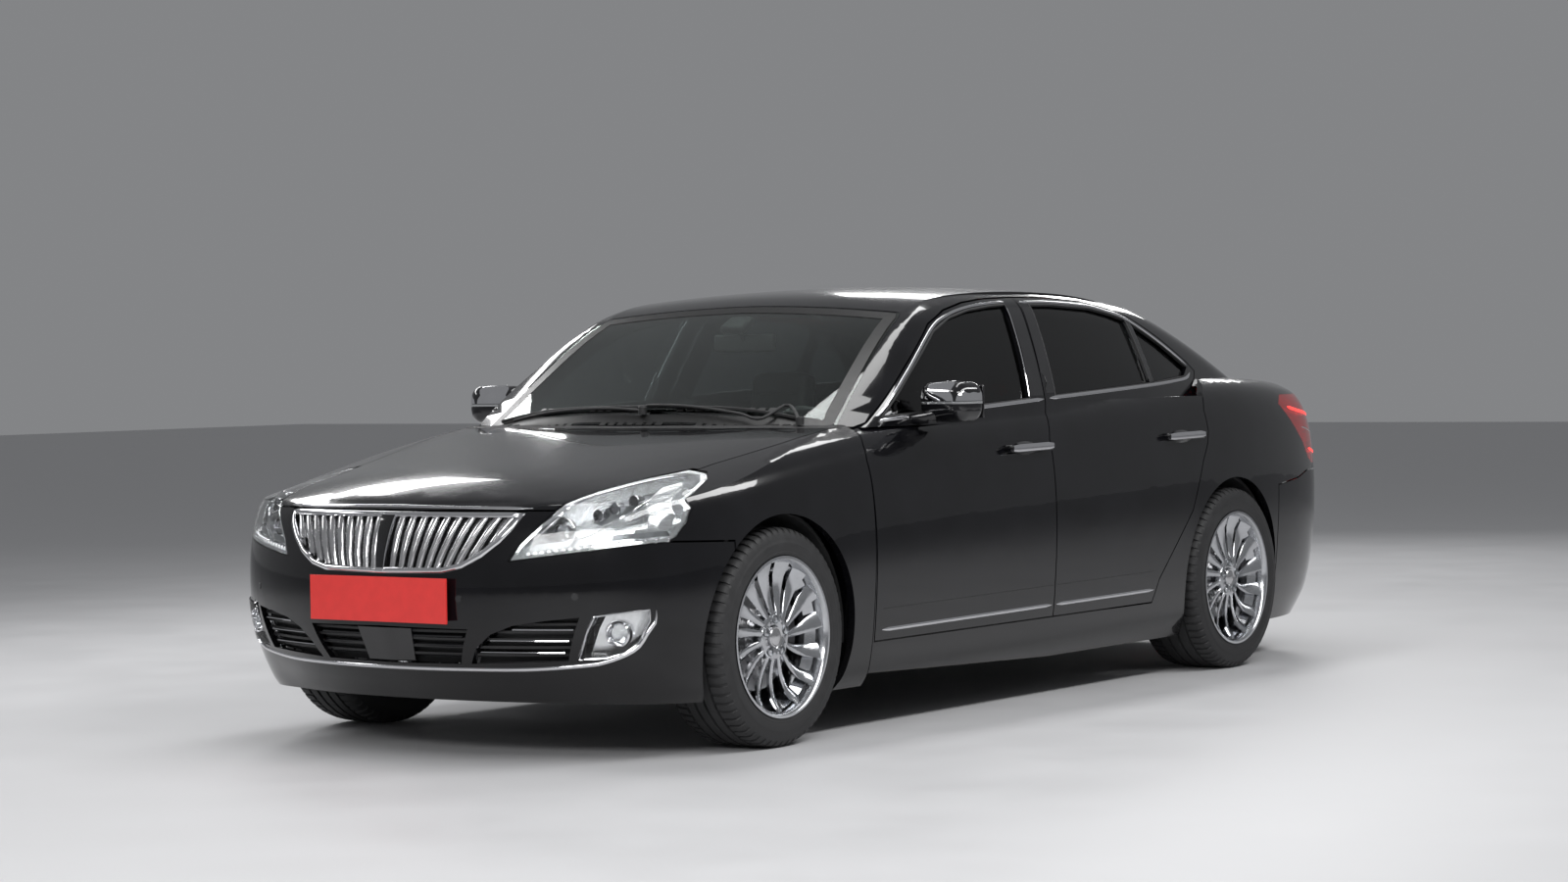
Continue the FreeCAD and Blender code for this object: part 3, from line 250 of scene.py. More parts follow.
def lamp(name, place, target, size, power):
    d = bpy.data.lights.new(name, "AREA")
    d.shape = "RECTANGLE"
    d.size, d.size_y = size
    d.energy = power
    o = bpy.data.objects.new(name, d)
    o.location = place
    o.rotation_euler = (Vector(target) - Vector(place)).to_track_quat("-Z", "Y").to_euler()
    scene.collection.objects.link(o)


lamp("top_strip", (-0.6, 0.6, 5.4), (-0.6, 0.6, 0), (1.0, 7.0), 120)
lamp("flank_strip", (4.3, -1.4, 4.4), (0.8, -1.4, 0.9), (9.0, 0.8), 280)
lamp("front_softbox", (2.6, -8.5, 3.6), (0.2, -2.4, 0.6), (4.5, 1.3), 200)
lamp("right_strip", (-4.6, -1.0, 3.6), (-0.8, -0.8, 0.8), (8.0, 0.6), 140)
lamp("rear_softbox", (-3.2, 8.0, 4.2), (0.0, 2.0, 0.8), (4, 1.2), 140)

floor_mesh = bpy.data.meshes.new("studio_floor")
FLOOR_HALF = 40
floor_corners = [(x * FLOOR_HALF, y * FLOOR_HALF, 0) for x, y in ((-1, -1), (1, -1), (1, 1), (-1, 1))]
floor_mesh.from_pydata(floor_corners, [], [(0, 1, 2, 3)])
studio_floor = bpy.data.objects.new("studio_floor", floor_mesh)
scene.collection.objects.link(studio_floor)
floor_mesh.materials.append(material("pale_floor", (0.55, 0.55, 0.56), 0.55, vary=0.03, scale=2))


# Mesh tools
def tree(*names):
    """Search tree over the CAD meshes of some nodes."""
    vs, fs = [], []
    for n in names:
        me = NODES[n].data
        k = len(vs)
        vs += [v.co.copy() for v in me.vertices]
        fs += [[k + i for i in p.vertices] for p in me.polygons]
    return BVHTree.FromPolygons(vs, fs)


SKIN = tree(*[n for n in NODES if n.startswith(("roof", "body_side", "hood", "boot_lid", "fender",
    "front_bumper", "rear_bumper", "door", "headlamps", "tail_lamps", "windscreen", "rear_window",
    "scuttle", "fog_lamps"))])


def cast(origin, direction, on=SKIN):
    """Point and outward normal where a ray meets the skin."""
    loc, nrm, _, _ = on.ray_cast(Vector(origin), Vector(direction).normalized())
    if loc is None:
        loc, nrm, _, _ = on.find_nearest(Vector(origin) + Vector(direction).normalized() * 1.0)
    if nrm.dot(Vector(direction)) > 0:
        nrm = -nrm
    return loc, nrm


# Rays start outside the car, at these distances
SIDE_X, END_Y, TOP_Z = 1.5, 3.2, 2.2


def from_side(y, z, on=SKIN):
    return cast((SIDE_X, y, z), (-1, 0, 0), on)


def from_front(x, z, on=SKIN):
    return cast((x, -END_Y, z), (0, 1, 0), on)


def from_rear(x, z, on=SKIN):
    return cast((x, END_Y, z), (0, -1, 0), on)


def from_top(x, y, on=SKIN):
    return cast((x, y, TOP_Z), (0, 0, -1), on)


def spline(points, step=0.02):
    """Evenly spaced points on a Catmull-Rom curve through the given ones."""
    ps = [Vector(p) for p in points]
    n = len(ps)
    fine = []
    for i in range(n - 1):
        a, b, c, d = ps[max(i - 1, 0)], ps[i], ps[i + 1], ps[min(i + 2, n - 1)]
        for k in range(16):
            t = k / 16
            cubic = (3 * b - a - 3 * c + d) * t ** 3
            fine.append(0.5 * ((2 * b) + (c - a) * t + (2 * a - 5 * b + 4 * c - d) * t * t + cubic))
    fine.append(ps[-1].copy())
    lengths = [0.0]
    for p, q in zip(fine, fine[1:]):
        lengths.append(lengths[-1] + (q - p).length)
    count = max(2, round(lengths[-1] / step))
    out = []
    j = 0
    for k in range(count + 1):
        want = lengths[-1] * k / count
        while j < len(lengths) - 2 and lengths[j + 1] < want:
            j += 1
        f = (want - lengths[j]) / max(1e-9, lengths[j + 1] - lengths[j])
        out.append(fine[j].lerp(fine[j + 1], f))
    return out


def sweep(path, normals, profile, closed=False, scale=None):
    """Profile points (across, out) carried along a path with outward normals."""
    n, m = len(path), len(profile)
    vs, fs = [], []
    for i, p in enumerate(path):
        a = path[i - 1] if (i or closed) else path[0]
        b = path[(i + 1) % n] if (closed or i < n - 1) else path[-1]
        t = (b - a).normalized()
        nr = normals[i]
        nr = (nr - t * nr.dot(t)).normalized()
        s = t.cross(nr)
        k = scale[i] if scale else 1.0
        vs += [p + s * (u * k) + nr * (v * k) for u, v in profile]
    for i in range(n if closed else n - 1):
        for j in range(m):
            a, b = i * m + j, i * m + (j + 1) % m
            c, d = ((i + 1) % n) * m + (j + 1) % m, ((i + 1) % n) * m + j
            fs.append((a, b, c, d))
    if not closed:
        fs.append(tuple(range(m - 1, -1, -1)))
        fs.append(tuple(range((n - 1) * m, n * m)))
    return vs, fs


def laid(hits, profile, closed=False):
    """Sweep along points that come with their normals."""
    return sweep([h[0] for h in hits], [h[1] for h in hits], profile, closed)


def eased(hits, profile, taper, passes):
    """Sweep along hits whose normals are evened out and whose ends taper."""
    nrm = [h[1] for h in hits]
    n = len(nrm)
    for _ in range(passes):
        nrm = [(nrm[max(i - 1, 0)] + nrm[i] * 2 + nrm[min(i + 1, n - 1)]).normalized() for i in range(n)]
    scale = [min(1.0, 0.15 + i / taper, 0.15 + (n - 1 - i) / taper) for i in range(n)] if taper else None
    return sweep([h[0] for h in hits], nrm, profile, False, scale)


def half_round(w, h, n=6, sink=0.0015):
    """Strip section w wide and h proud, seated a little below the surface."""
    pts = [(w / 2 * math.cos(math.pi * i / n), h * math.sin(math.pi * i / n)) for i in range(n + 1)]
    return [(w / 2, -sink)] + pts + [(-w / 2, -sink)]


def both_sides(half):
    """Outline or section whose left half is given, with its mirror image added."""
    return list(half) + [(-x, z) for x, z in reversed(half) if x > 1e-6]


def squarish(v, power):
    """Sine or cosine raised so that a circle turns into a rounded square."""
    return math.copysign(abs(v) ** power, v)


def circle(n):
    """Angles of n even steps round a circle."""
    return [2 * math.pi * k / n for k in range(n)]


def grid(rows):
    """Faces over closed rows of points."""
    vs = [Vector(p) for r in rows for p in r]
    m = len(rows[0])
    fs = []
    for i in range(len(rows) - 1):
        for j in range(m):
            a, b = i * m + j, i * m + (j + 1) % m
            fs.append((a, b, b + m, a + m))
    return vs, fs


def capped(rows):
    """Closed tube over rows of points, with a face over each end."""
    vs, fs = grid(rows)
    m = len(rows[0])
    return vs, fs + [tuple(range(m - 1, -1, -1)), tuple(range(len(vs) - m, len(vs)))]


def join(*parts):
    """One shape made of several."""
    vs, fs = [], []
    for v, f in parts:
        k = len(vs)
        vs += list(v)
        fs += [tuple(k + i for i in face) for face in f]
    return vs, fs


def block(x0, x1, y0, y1, z0, z1, r=0.004, n=2):
    """Box with edges rounded by r in n steps."""
    bm = bmesh.new()
    bmesh.ops.create_cube(bm, size=1)
    c = Vector(((x0 + x1) / 2, (y0 + y1) / 2, (z0 + z1) / 2))
    size = Vector((x1 - x0, y1 - y0, z1 - z0))
    for v in bm.verts:
        v.co = Vector((v.co[i] * size[i] for i in range(3)))
    bmesh.ops.bevel(bm, geom=bm.edges[:], offset=min(r, min(size) * 0.49), segments=n, profile=0.5,
        affect="EDGES")
    vs = [v.co + c for v in bm.verts]
    fs = [tuple(v.index for v in f.verts) for f in bm.faces]
    bm.free()
    return vs, fs


def lathe(profile, n=48, axis="x", at=(0, 0, 0), closed=True):
    """Revolves (along, radius) points about an axis through at."""
    rows = []
    for a, r in profile:
        row = []
        for t in circle(n):
            u, v = r * math.cos(t), r * math.sin(t)
            p = {"x": (a, u, v), "y": (u, a, v), "z": (u, v, a)}[axis]
            row.append(Vector(p) + Vector(at))
        rows.append(row)
    if closed:
        rows.append(rows[0])
    return grid(rows)


def piece(name, shape, mat, body="body", slot=None, sharp=35):
    """Makes a mesh object of vertices and faces that rides on a CAD body."""
    vs, fs = shape
    me = bpy.data.meshes.new(name)
    me.from_pydata([tuple(v) for v in vs], [], fs)
    bm = bmesh.new()
    bm.from_mesh(me)
    bmesh.ops.remove_doubles(bm, verts=bm.verts, dist=0.00001)
    bmesh.ops.dissolve_degenerate(bm, dist=0.00001, edges=bm.edges)
    bmesh.ops.recalc_face_normals(bm, faces=bm.faces)
    for f in bm.faces:
        f.smooth = True
    for e in bm.edges:
        if len(e.link_faces) == 2:
            e.smooth = e.calc_face_angle(0) < math.radians(sharp)
    bm.to_mesh(me)
    bm.free()
    me.materials.append(mat)
    o = bpy.data.objects.new(name, me)
    scene.collection.objects.link(o)
    slot = slot or SLOT_OF[mat.name]
    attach(o, body)
    return o


def mirrored(shape):
    """The shape's mirror image on the other side of the car."""
    vs, fs = shape
    return [Vector((-v[0], v[1], v[2])) for v in vs], [tuple(reversed(f)) for f in fs]


def pair(name, shape, mat, body="body", **k):
    """A left piece and its mirror image; body may hold %s for the side."""
    for side, s in SIDES:
        b = body % side if "%s" in body else body
        piece(f"{name}_{side}", shape if s > 0 else mirrored(shape), mat, b, **k)


def strip(points, caster, profile, step=0.02, taper=0, on=SKIN):
    """Sweeps a profile along 2-D points laid on the skin by a caster."""
    flat = spline([(a, b, 0) for a, b in points], step)
    return eased([caster(p.x, p.y, on) for p in flat], profile, taper, 2)


def inside(p, ring):
    """Whether a 2-D point lies inside an outline."""
    odd = False
    for (x0, y0), (x1, y1) in zip(ring, ring[1:] + ring[:1]):
        if (y0 > p[1]) != (y1 > p[1]) and p[0] < (x1 - x0) * (p[1] - y0) / (y1 - y0) + x0:
            odd = not odd
    return odd


def grown(ring, d):
    """Closed 2-D outline moved outward by d."""
    area = sum(x0 * y1 - x1 * y0 for (x0, y0), (x1, y1) in zip(ring, ring[1:] + ring[:1]))
    k = d if area > 0 else -d
    out = []
    n = len(ring)
    for i in range(n):
        (ax, ay), (bx, by), (cx, cy) = ring[i - 1], ring[i], ring[(i + 1) % n]
        n1 = Vector((by - ay, ax - bx)).normalized()
        n2 = Vector((cy - by, bx - cx)).normalized()
        m = n1 + n2
        s = k * 2 / max(0.5, m.length_squared)
        out.append((bx + m.x * s, by + m.y * s))
    return out


def dense(ring, step):
    """Closed outline with further points, at most about one step apart."""
    out = []
    for a, b in zip(ring, ring[1:] + ring[:1]):
        n = max(1, round(math.dist(a, b) / step))
        out += [(a[0] + (b[0] - a[0]) * k / n, a[1] + (b[1] - a[1]) * k / n) for k in range(n)]
    return out


def plate(ring, caster, top=0.002, low=-0.001, step=0.03, on=SKIN):
    """Thin closed plate that follows the skin inside a 2-D outline."""
    edge = dense(ring, step)
    lo = [min(p[i] for p in edge) for i in (0, 1)]
    hi = [max(p[i] for p in edge) for i in (0, 1)]
    shrunk = grown(edge, -step * 0.45)
    pts = list(edge)
    for i in range(1, int((hi[0] - lo[0]) / step) + 1):
        for j in range(1, int((hi[1] - lo[1]) / step) + 1):
            p = (lo[0] + i * step, lo[1] + j * step)
            if inside(p, edge) and inside(p, shrunk):
                pts.append(p)
    n = len(edge)
    v2, _, tris, _, _, _ = delaunay_2d_cdt([Vector(p) for p in pts], [(i, (i + 1) % n) for i in range(n)],
        [], 1, 1e-6)
    hits = [caster(p.x, p.y, on) for p in v2]
    vs = [h[0] + h[1] * top for h in hits] + [h[0] + h[1] * low for h in hits]
    k = len(v2)
    borders = {(a, b): True for t in tris for a, b in zip(t, list(t[1:]) + [t[0]])}
    fs = [tuple(t) for t in tris] + [tuple(k + i for i in reversed(t)) for t in tris]
    fs += [(b, a, k + a, k + b) for a, b in borders if (b, a) not in borders]
    return vs, fs


def tube(path, r, n=10):
    """Round bar along a path of points."""
    ps = [Vector(p) for p in path]
    nrm = []
    ref = Vector((0, 0, 1))
    for i, p in enumerate(ps):
        a, b = ps[max(i - 1, 0)], ps[min(i + 1, len(ps) - 1)]
        t = (b - a).normalized()
        if abs(t.dot(ref)) > 0.95:
            ref = Vector((0, 1, 0)) if abs(t.y) < 0.9 else Vector((1, 0, 0))
        nrm.append((ref - t * ref.dot(t)).normalized())
    prof = [(r * math.cos(a), r * math.sin(a)) for a in circle(n)]
    return sweep(ps, nrm, prof)


def turned(shape, m):
    """Vertices of a shape through a 4x4 matrix."""
    vs, fs = shape
    return [m @ Vector(v) for v in vs], fs


def both(shape):
    """The shape and its mirror image as one."""
    return join(shape, mirrored(shape))


def polar(r, t):
    """Point at radius r and angle t in the side plane, from +Y upward."""
    return Vector((0, r * math.cos(t), r * math.sin(t)))


def aimed(at, direction):
    """Matrix that sets a shape made along +Z at a place, looking along a direction."""
    return Matrix.Translation(at) @ Vector(direction).to_track_quat("Z", "Y").to_matrix().to_4x4()


def placed(at, degrees=0, axis="X"):
    """Matrix that turns a shape about an axis and sets it at a place."""
    return Matrix.Translation(at) @ Matrix.Rotation(math.radians(degrees), 4, axis)


def near(p, on=SKIN):
    """Nearest point of the skin and its normal."""
    loc, nrm, _, _ = on.find_nearest(Vector(p))
    return loc, nrm


# Wheels
BLADE_COUNT = 15
BLADE_STATIONS = 9
BLADE_SECTION = ((-1, -0.15), (-0.86, 0.0), (0.0, 0.16), (0.86, 0.0), (1, -0.15), (0.72, -1.0), (0, -1.25),
    (-0.72, -1.0))
BOLT_COUNT = 5
BOLT_CIRCLE_R = 0.056
DISC_R = 0.175
DISC_BORE_R = 0.095
DISC_BACK = 0.095
VANE_COUNT = 36


def set_off(face, points):
    """Section points (along, radius) counted from the wheel's face."""
    return [(face + a, r) for a, r in points]


def tyre_shape(width, pitches=66):
    """Tyre with four grooves round it and shoulder slots, centred on the origin."""
    h = width / 2
    side = [(h - 0.011, 0.2585), (h - 0.006, 0.262), (h - 0.0035, 0.270), (h - 0.004, 0.272),
        (h - 0.0015, 0.280), (h, 0.297), (h - 0.0005, 0.302), (h - 0.0014, 0.3035), (h - 0.002, 0.312),
        (h - 0.006, 0.328), (h - 0.013, 0.339), (h - 0.020, 0.3445), (h - 0.034, 0.3482)]
    crown = []
    for g, w in ((0.62, 0.005), (0.21, 0.0055), (-0.21, 0.0055), (-0.62, 0.005)):
        c = g * (h - 0.03)
        rg = TYRE_R - 0.0012 * (abs(g) / 0.62) ** 2
        crown += [(c + w, rg), (c + w * 0.6, rg - 0.0075), (c - w * 0.6, rg - 0.0075), (c - w, rg)]
    prof = side + crown + [(-a, r) for a, r in reversed(side)]
    inner = [(-h + 0.012, 0.247), (h - 0.012, 0.247)]
    rows = []
    block_steps = (0.0, 0.62, 0.66, 0.94)
    for k in range(pitches):
        for q, f in enumerate(block_steps):
            row = []
            for a, r in prof + inner:
                edge = abs(a) > 0.62 * (h - 0.03) + 0.004 and r > 0.338
                shift = 0.25 * abs(a) / h
                t = 2 * math.pi * (k + f + shift * (1 if a > 0 else -1)) / pitches
                cut = 0.0055 if (edge and q >= 2) else 0.0
                row.append(Vector((a, 0, 0)) + polar(r - cut, t))
            rows.append(row)
    rows.append(rows[0])
    return grid(rows)


def rim_shapes(width):
    """Barrel with lip, blades and hub of the left wheel, outboard toward +X."""
    h = width / 2
    face = h - 0.034
    lip = [(h - 0.004, 0.2575), (h - 0.0095, 0.2575), (h - 0.011, 0.246), (h - 0.05, 0.2455),
        (h - 0.074, 0.2165), (-h + 0.062, 0.2165), (-h + 0.044, 0.246), (-h + 0.012, 0.246),
        (-h + 0.010, 0.257), (-h + 0.004, 0.257), (-h + 0.004, 0.250), (-h + 0.012, 0.2385),
        (-h + 0.040, 0.2375), (-h + 0.060, 0.2075), (h - 0.070, 0.2075), (h - 0.046, 0.2365),
        (h - 0.018, 0.2395), (h - 0.008, 0.2445), (h - 0.004, 0.2495)]
    barrel = lathe(lip, 96)
    blades = []
    for start in circle(BLADE_COUNT):
        rows = []
        for k in range(BLADE_STATIONS):
            f = k / (BLADE_STATIONS - 1)
            r = 0.050 + f * 0.193
            turn = start + math.radians(10) * f ** 1.3
            half = 0.0078 + 0.0205 * f ** 1.3
            thick = 0.015 - 0.004 * f
            roll = math.radians(-7 - 15 * f)
            rise = 0.014 * max(0, f - 0.75) / 0.25
            dish = face - 0.002 - 0.016 * math.sin(math.pi * min(1, f * 0.9)) + rise
            row = []
            for u, w in BLADE_SECTION:
                lat = u * half * math.cos(roll) - w * thick * math.sin(roll)
                dep = u * half * math.sin(roll) + w * thick * math.cos(roll)
                row.append(Vector((dish + dep, 0, 0)) + polar(r, turn) + polar(lat, turn + math.pi / 2))
            rows.append(row)
        blades.append(capped(rows))
    hub = lathe(set_off(face, [(-0.055, 0.074), (-0.010, 0.074), (-0.004, 0.070), (-0.002, 0.062),
        (-0.004, 0.040), (-0.010, 0.034), (-0.055, 0.034)]), 60)
    cap = lathe(set_off(face, [(-0.009, 0.0335), (-0.002, 0.0335), (0.001, 0.031), (-0.001, 0.027),
        (0.0015, 0.021), (0.003, 0.0005), (-0.009, 0.0005)]), 40)
    well = set_off(face, [(0.0006, 0.0148), (0.0012, 0.0128), (-0.020, 0.0122), (-0.020, 0.0005),
        (-0.022, 0.0005), (-0.022, 0.0148)])
    nut = set_off(face, [(-0.0205, 0.0105), (-0.008, 0.0098), (-0.0055, 0.0075), (-0.0055, 0.0005),
        (-0.0205, 0.0005)])
    wells, nuts = [], []
    for i in range(BOLT_COUNT):
        at = polar(BOLT_CIRCLE_R, 2 * math.pi * (i + 0.25) / BOLT_COUNT)
        wells.append(lathe(well, 20, at=at))
        nuts.append(lathe(nut, 6, at=at))
    stem = set_off(face, [(-0.03, 0.003), (-0.006, 0.003), (-0.002, 0.0022), (-0.002, 0.0005),
        (-0.03, 0.0005)])
    valve = lathe(stem, 10, at=(0, 0.222, 0.02))
    return barrel, join(*blades, hub), cap, join(*wells), join(*nuts, valve), face


def disc_shape(face):
    """Vented brake disc with its hat, inboard of the wheel's face."""
    plates = []
    for a, b in ((-0.080, -0.090), (-0.100, -0.110)):
        ring = [(a, DISC_R), (b, DISC_R), (b, DISC_BORE_R), (a, DISC_BORE_R)]
        plates.append(lathe(set_off(face, ring), 72))
    vane = block(-0.005, 0.005, 0.100, 0.172, -0.0018, 0.0018, 0.0005, 1)
    for t in circle(VANE_COUNT):
        plates.append(turned(vane, placed((face - DISC_BACK, 0, 0), math.degrees(t))))
    hat = set_off(face, [(-0.100, 0.094), (-0.056, 0.094), (-0.052, 0.090), (-0.052, 0.034),
        (-0.060, 0.034), (-0.060, 0.085), (-0.100, 0.085)])
    return join(*plates, lathe(hat, 60))


def moved(shape, to, s=1.0):
    """Shape at a place, mirrored when s is negative."""
    vs, fs = shape if s > 0 else mirrored(shape)
    return [v + Vector(to) for v in vs], fs


DISC_AT = {}
for corner, axle in (("front", FRONT_AXLE_Y), ("rear", REAR_AXLE_Y)):
    tyre = tyre_shape(TYRE_W[corner])
    barrel, blades, cap, wells, nuts, face = rim_shapes(TYRE_W[corner])
    disc = disc_shape(face)
    DISC_AT[corner] = TRACK[corner] + face - DISC_BACK
    for side, s in SIDES:
        at = (s * TRACK[corner], axle, TYRE_R)
        body = f"wheel_{corner}_{side}"
        tag = f"{corner}_{side}"
        tread = piece("tyre_tread_" + tag, moved(tyre, at, s), TREAD, body, sharp=28)
        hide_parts("tyre_" + tag)
        spokes = piece("wheel_blades_" + tag, moved(blades, at, s), ALLOY, body, sharp=40)
        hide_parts("rim_" + tag)
        piece("wheel_barrel_" + tag, moved(barrel, at, s), ALLOY, body)
        piece("wheel_cap_" + tag, moved(cap, at, s), SATIN, body, slot="alloy")
        # The bolt wells take the darker alloy copy, whose darker colour here is painted shade in the
        # recesses
        piece("wheel_wells_" + tag, moved(wells, at, s), DARK_ALLOY_AND_SHADE, body, slot="alloy")
        piece("wheel_nuts_" + tag, moved(nuts, at, s), CHROME, body, slot="alloy")
        piece("brake_disc_" + tag, moved(disc, at, s), DISC, body)


# Grille and nose
NOSE_PLAN = ((0, -2.580), (0.25, -2.562), (0.48, -2.502), (0.68, -2.412), (0.83, -2.285), (0.905, -2.110))
NOSE_LEVELS = ((-0.2, 0.230), (-0.05, 0.160), (0, 0.135), (0.167, 0.052), (0.37, 0.008), (0.58, 0),
    (0.75, 0.012), (0.86, 0.030), (0.93, 0.048), (0.97, 0.066), (1.0, 0.088), (1.03, 0.125))
NOSE_LOW = 0.198
NOSE_HEIGHT = 0.60
GRILLE_LOW = 0.586


def on_nose(x, z, depth=0.0):
    """Point of the nose's smooth line at (x, z), moved rearward by depth."""
    a = abs(x)
    i = next((i for i in range(5) if a <= NOSE_PLAN[i + 1][0]), 4)
    p = [NOSE_PLAN[j] for j in (max(i - 1, 0), i, i + 1, min(i + 2, 5))]
    t = (a - p[1][0]) / (p[2][0] - p[1][0])
    m1 = (p[2][1] - p[0][1]) / max(1e-6, p[2][0] - p[0][0]) * (p[2][0] - p[1][0])
    m2 = (p[3][1] - p[1][1]) / (p[3][0] - p[1][0]) * (p[2][0] - p[1][0])
    y = (2 * t ** 3 - 3 * t * t + 1) * p[1][1] + (t ** 3 - 2 * t * t + t) * m1
    y += (3 * t * t - 2 * t ** 3) * p[2][1] + (t ** 3 - t * t) * m2
    v = (z - NOSE_LOW) / NOSE_HEIGHT
    rise = 0.0
    for (v0, r0), (v1, r1) in zip(NOSE_LEVELS, NOSE_LEVELS[1:]):
        if v0 <= v <= v1:
            rise = r0 + (r1 - r0) * (v - v0) / (v1 - v0)
    return Vector((x, y + rise + depth, z))


def nose_caster(depth):
    """Caster onto the nose's smooth line, moved rearward by depth."""
    def f(x, z, on=None):
        p = on_nose(x, z, depth)
        s = on_nose(x + 0.01, z, depth) - on_nose(x - 0.01, z, depth)
        u = on_nose(x, z + 0.01, depth) - on_nose(x, z - 0.01, depth)
        n = s.cross(u).normalized()
        return p, (n if n.y < 0 else -n)
    return f


on_shell = nose_caster(0)
GRILLE = both_sides([(0, GRILLE_LOW), (0.240, 0.590), (0.310, 0.606), (0.372, 0.640), (0.425, 0.684),
    (0.462, 0.728), (0.484, 0.777), (0, 0.777)])
LAMP = [(0.462, 0.630), (0.487, 0.678), (0.562, 0.760), (0.600, 0.815), (0.655, 0.866), (0.700, 0.886),
    (0.755, 0.880), (0.800, 0.860), (0.845, 0.822), (0.870, 0.782), (0.874, 0.740), (0.866, 0.696),
    (0.852, 0.681), (0.781, 0.673), (0.633, 0.652)]
FOG = [(0.637, 0.322), (0.702, 0.461), (0.832, 0.478), (0.830, 0.440), (0.806, 0.378), (0.764, 0.342),
    (0.716, 0.326)]
MID_INTAKE = both_sides([(0, 0.305), (0.272, 0.308), (0.322, 0.418), (0, 0.423)])
SIDE_INTAKE = [(0.308, 0.309), (0.340, 0.358), (0.394, 0.402), (0.466, 0.430), (0.560, 0.445),
    (0.664, 0.456), (0.612, 0.321)]

# Black ground behind the bars, convex bar faces, surround and divider
piece("grille_ground", plate(grown(GRILLE, -0.018), nose_caster(0.0445), 0, -0.0018, 0.03), BLACK)
BAR_SECTION = [(-u, d) for u, d in both_sides([(1.04, -0.030), (1.04, 0.0), (0.86, 0.0045), (0.55, 0.0072),
    (0, 0.0085)])]
BARS_A_SIDE = 10
BAR_TOP = 0.7605
bar_field = grown(GRILLE, -0.0165)
levels = [0.595 + 0.001 * k for k in range(200)]
bars = []
for i in range(BARS_A_SIDE):
    foot, head = 0.038 + 0.033 * i, 0.048 + 0.045 * i
    starts = [z for z in levels if inside((foot + (head - foot) * (z - GRILLE_LOW) / 0.19 + 0.004, z),
        bar_field)]
    z0 = starts[0] if starts else 0.6
    rows = []
    for k in range(13):
        z = z0 + (BAR_TOP - z0) * k / 12
        f = (z - GRILLE_LOW) / 0.191
        w = 0.0100 + 0.0032 * f
        c, n = on_shell(foot + (head - foot) * f, z)
        n = Vector((n.x, n.y, 0)).normalized()
        across = Vector((0, 0, 1)).cross(n)
        rows.append([c + across * (w * u) + n * (d - 0.0138) for u, d in BAR_SECTION])
    bars += [capped([[Vector((s * p.x, p.y, p.z)) for p in row] for row in rows]) for s in (1, -1)]
piece("grille_bars", join(*bars), SATIN, sharp=40)
ring_hits = [on_shell(x, z) for x, z in dense(grown(GRILLE, -0.0085), 0.02)]
surround = both_sides([(0.0088, -0.004), (0.0088, 0.001), (0.0055, 0.0042), (0, 0.0056)])
piece("grille_surround", laid(ring_hits, surround, True), CHROME)
vee = [(-0.0155, 0.600), (0.0155, 0.600), (0.0285, 0.766), (-0.0285, 0.766)]
piece("grille_divider", plate(vee, on_shell, 0.004, -0.006, 0.012), BLACK, sharp=25)
path = [on_shell(0.0155 + 0.013 * k / 8, 0.600 + 0.166 * k / 8) for k in range(9)]
edges = both(laid(path, both_sides([(0.0016, -0.004), (0.0016, 0.0042), (0, 0.0058)])))
toe = [(-0.017, 0.592), (0.017, 0.592), (0.0155, 0.603), (-0.0155, 0.603)]
piece("grille_divider_edges", join(edges, plate(toe, on_shell, 0.0062, -0.004, 0.01)), CHROME)

# Chrome strip on the leading edge of the hood
lead = [(x / 100, 0.7915 - 0.0009 * abs(x / 10)) for x in range(-50, 51, 2)]
piece("hood_edge_strip", strip(lead, from_front, half_round(0.0125, 0.0042, 6, 0.002), 0.02, taper=4,
    on=tree("hood")), CHROME, "hood")


# Headlamps
LENS_SKIN = tree("headlamps")
LAMP_LOOK = Vector((0.12, -1, 0.02)).normalized()


def lamp_point(x, z, depth):
    """Place behind the lamp lens."""
    p, _ = from_front(x, z, LENS_SKIN)
    return Vector((x, p.y + depth, z))


def lamp_frame(x, z, depth):
    """Matrix that sets a lamp part behind the lens, looking forward."""
    return aimed(lamp_point(x, z, depth), LAMP_LOOK)


def projector(r, depth=0.03):
    """Flared bezel of radius r."""
    return lathe([(0, r), (0.012, r * 1.12), (0.018, r * 1.16), (0.021, r * 1.10), (0.012, r * 0.98),
        (-depth, r * 0.8), (-depth, r * 0.95)], 40, "z")


def dome(r, bulge, n=32):
    """Round lens that bulges forward."""
    rows = [(bulge * math.cos(a), r * math.sin(a)) for a in [math.pi / 2 * k / 8 for k in range(9)]]
    rows[0] = (bulge, 0.0004)
    return lathe(rows + [(-0.004, r), (-0.004, 0.0004)], n, "z")


m = lamp_frame(0.585, 0.712, 0.055)
bowl = turned(lathe([(0.030, 0.050), (0.012, 0.046), (-0.010, 0.038), (-0.026, 0.028), (-0.030, 0.028),
    (-0.014, 0.040), (0.008, 0.050), (0.026, 0.053)], 40, "z"), m)
rings, eyes, diodes = [turned(projector(0.0235), m)], [turned(dome(0.0225, 0.012), m)], []
SMALL_EYES = ((0.668, 0.762, 0.0165, 0.070), (0.700, 0.782, 0.0165, 0.080), (0.731, 0.802, 0.0155, 0.085))
for x, z, r, d in SMALL_EYES:
    m = lamp_frame(x, z, d)
    rings.append(turned(projector(r, 0.024), m))
    eyes.append(turned(dome(r * 0.95, 0.009, 24), m))
DIODES = 18
for k in range(DIODES):
    f = k / (DIODES - 1)
    m = lamp_frame(0.505 + 0.345 * f, 0.6475 + 0.038 * f, 0.024)
    rings.append(turned(lathe([(0.004, 0.0065), (0.006, 0.0078), (0.004, 0.0088), (-0.010, 0.0088),
        (-0.010, 0.0052)], 12, "z"), m))
    diodes.append(turned(dome(0.0052, 0.004, 10), m))


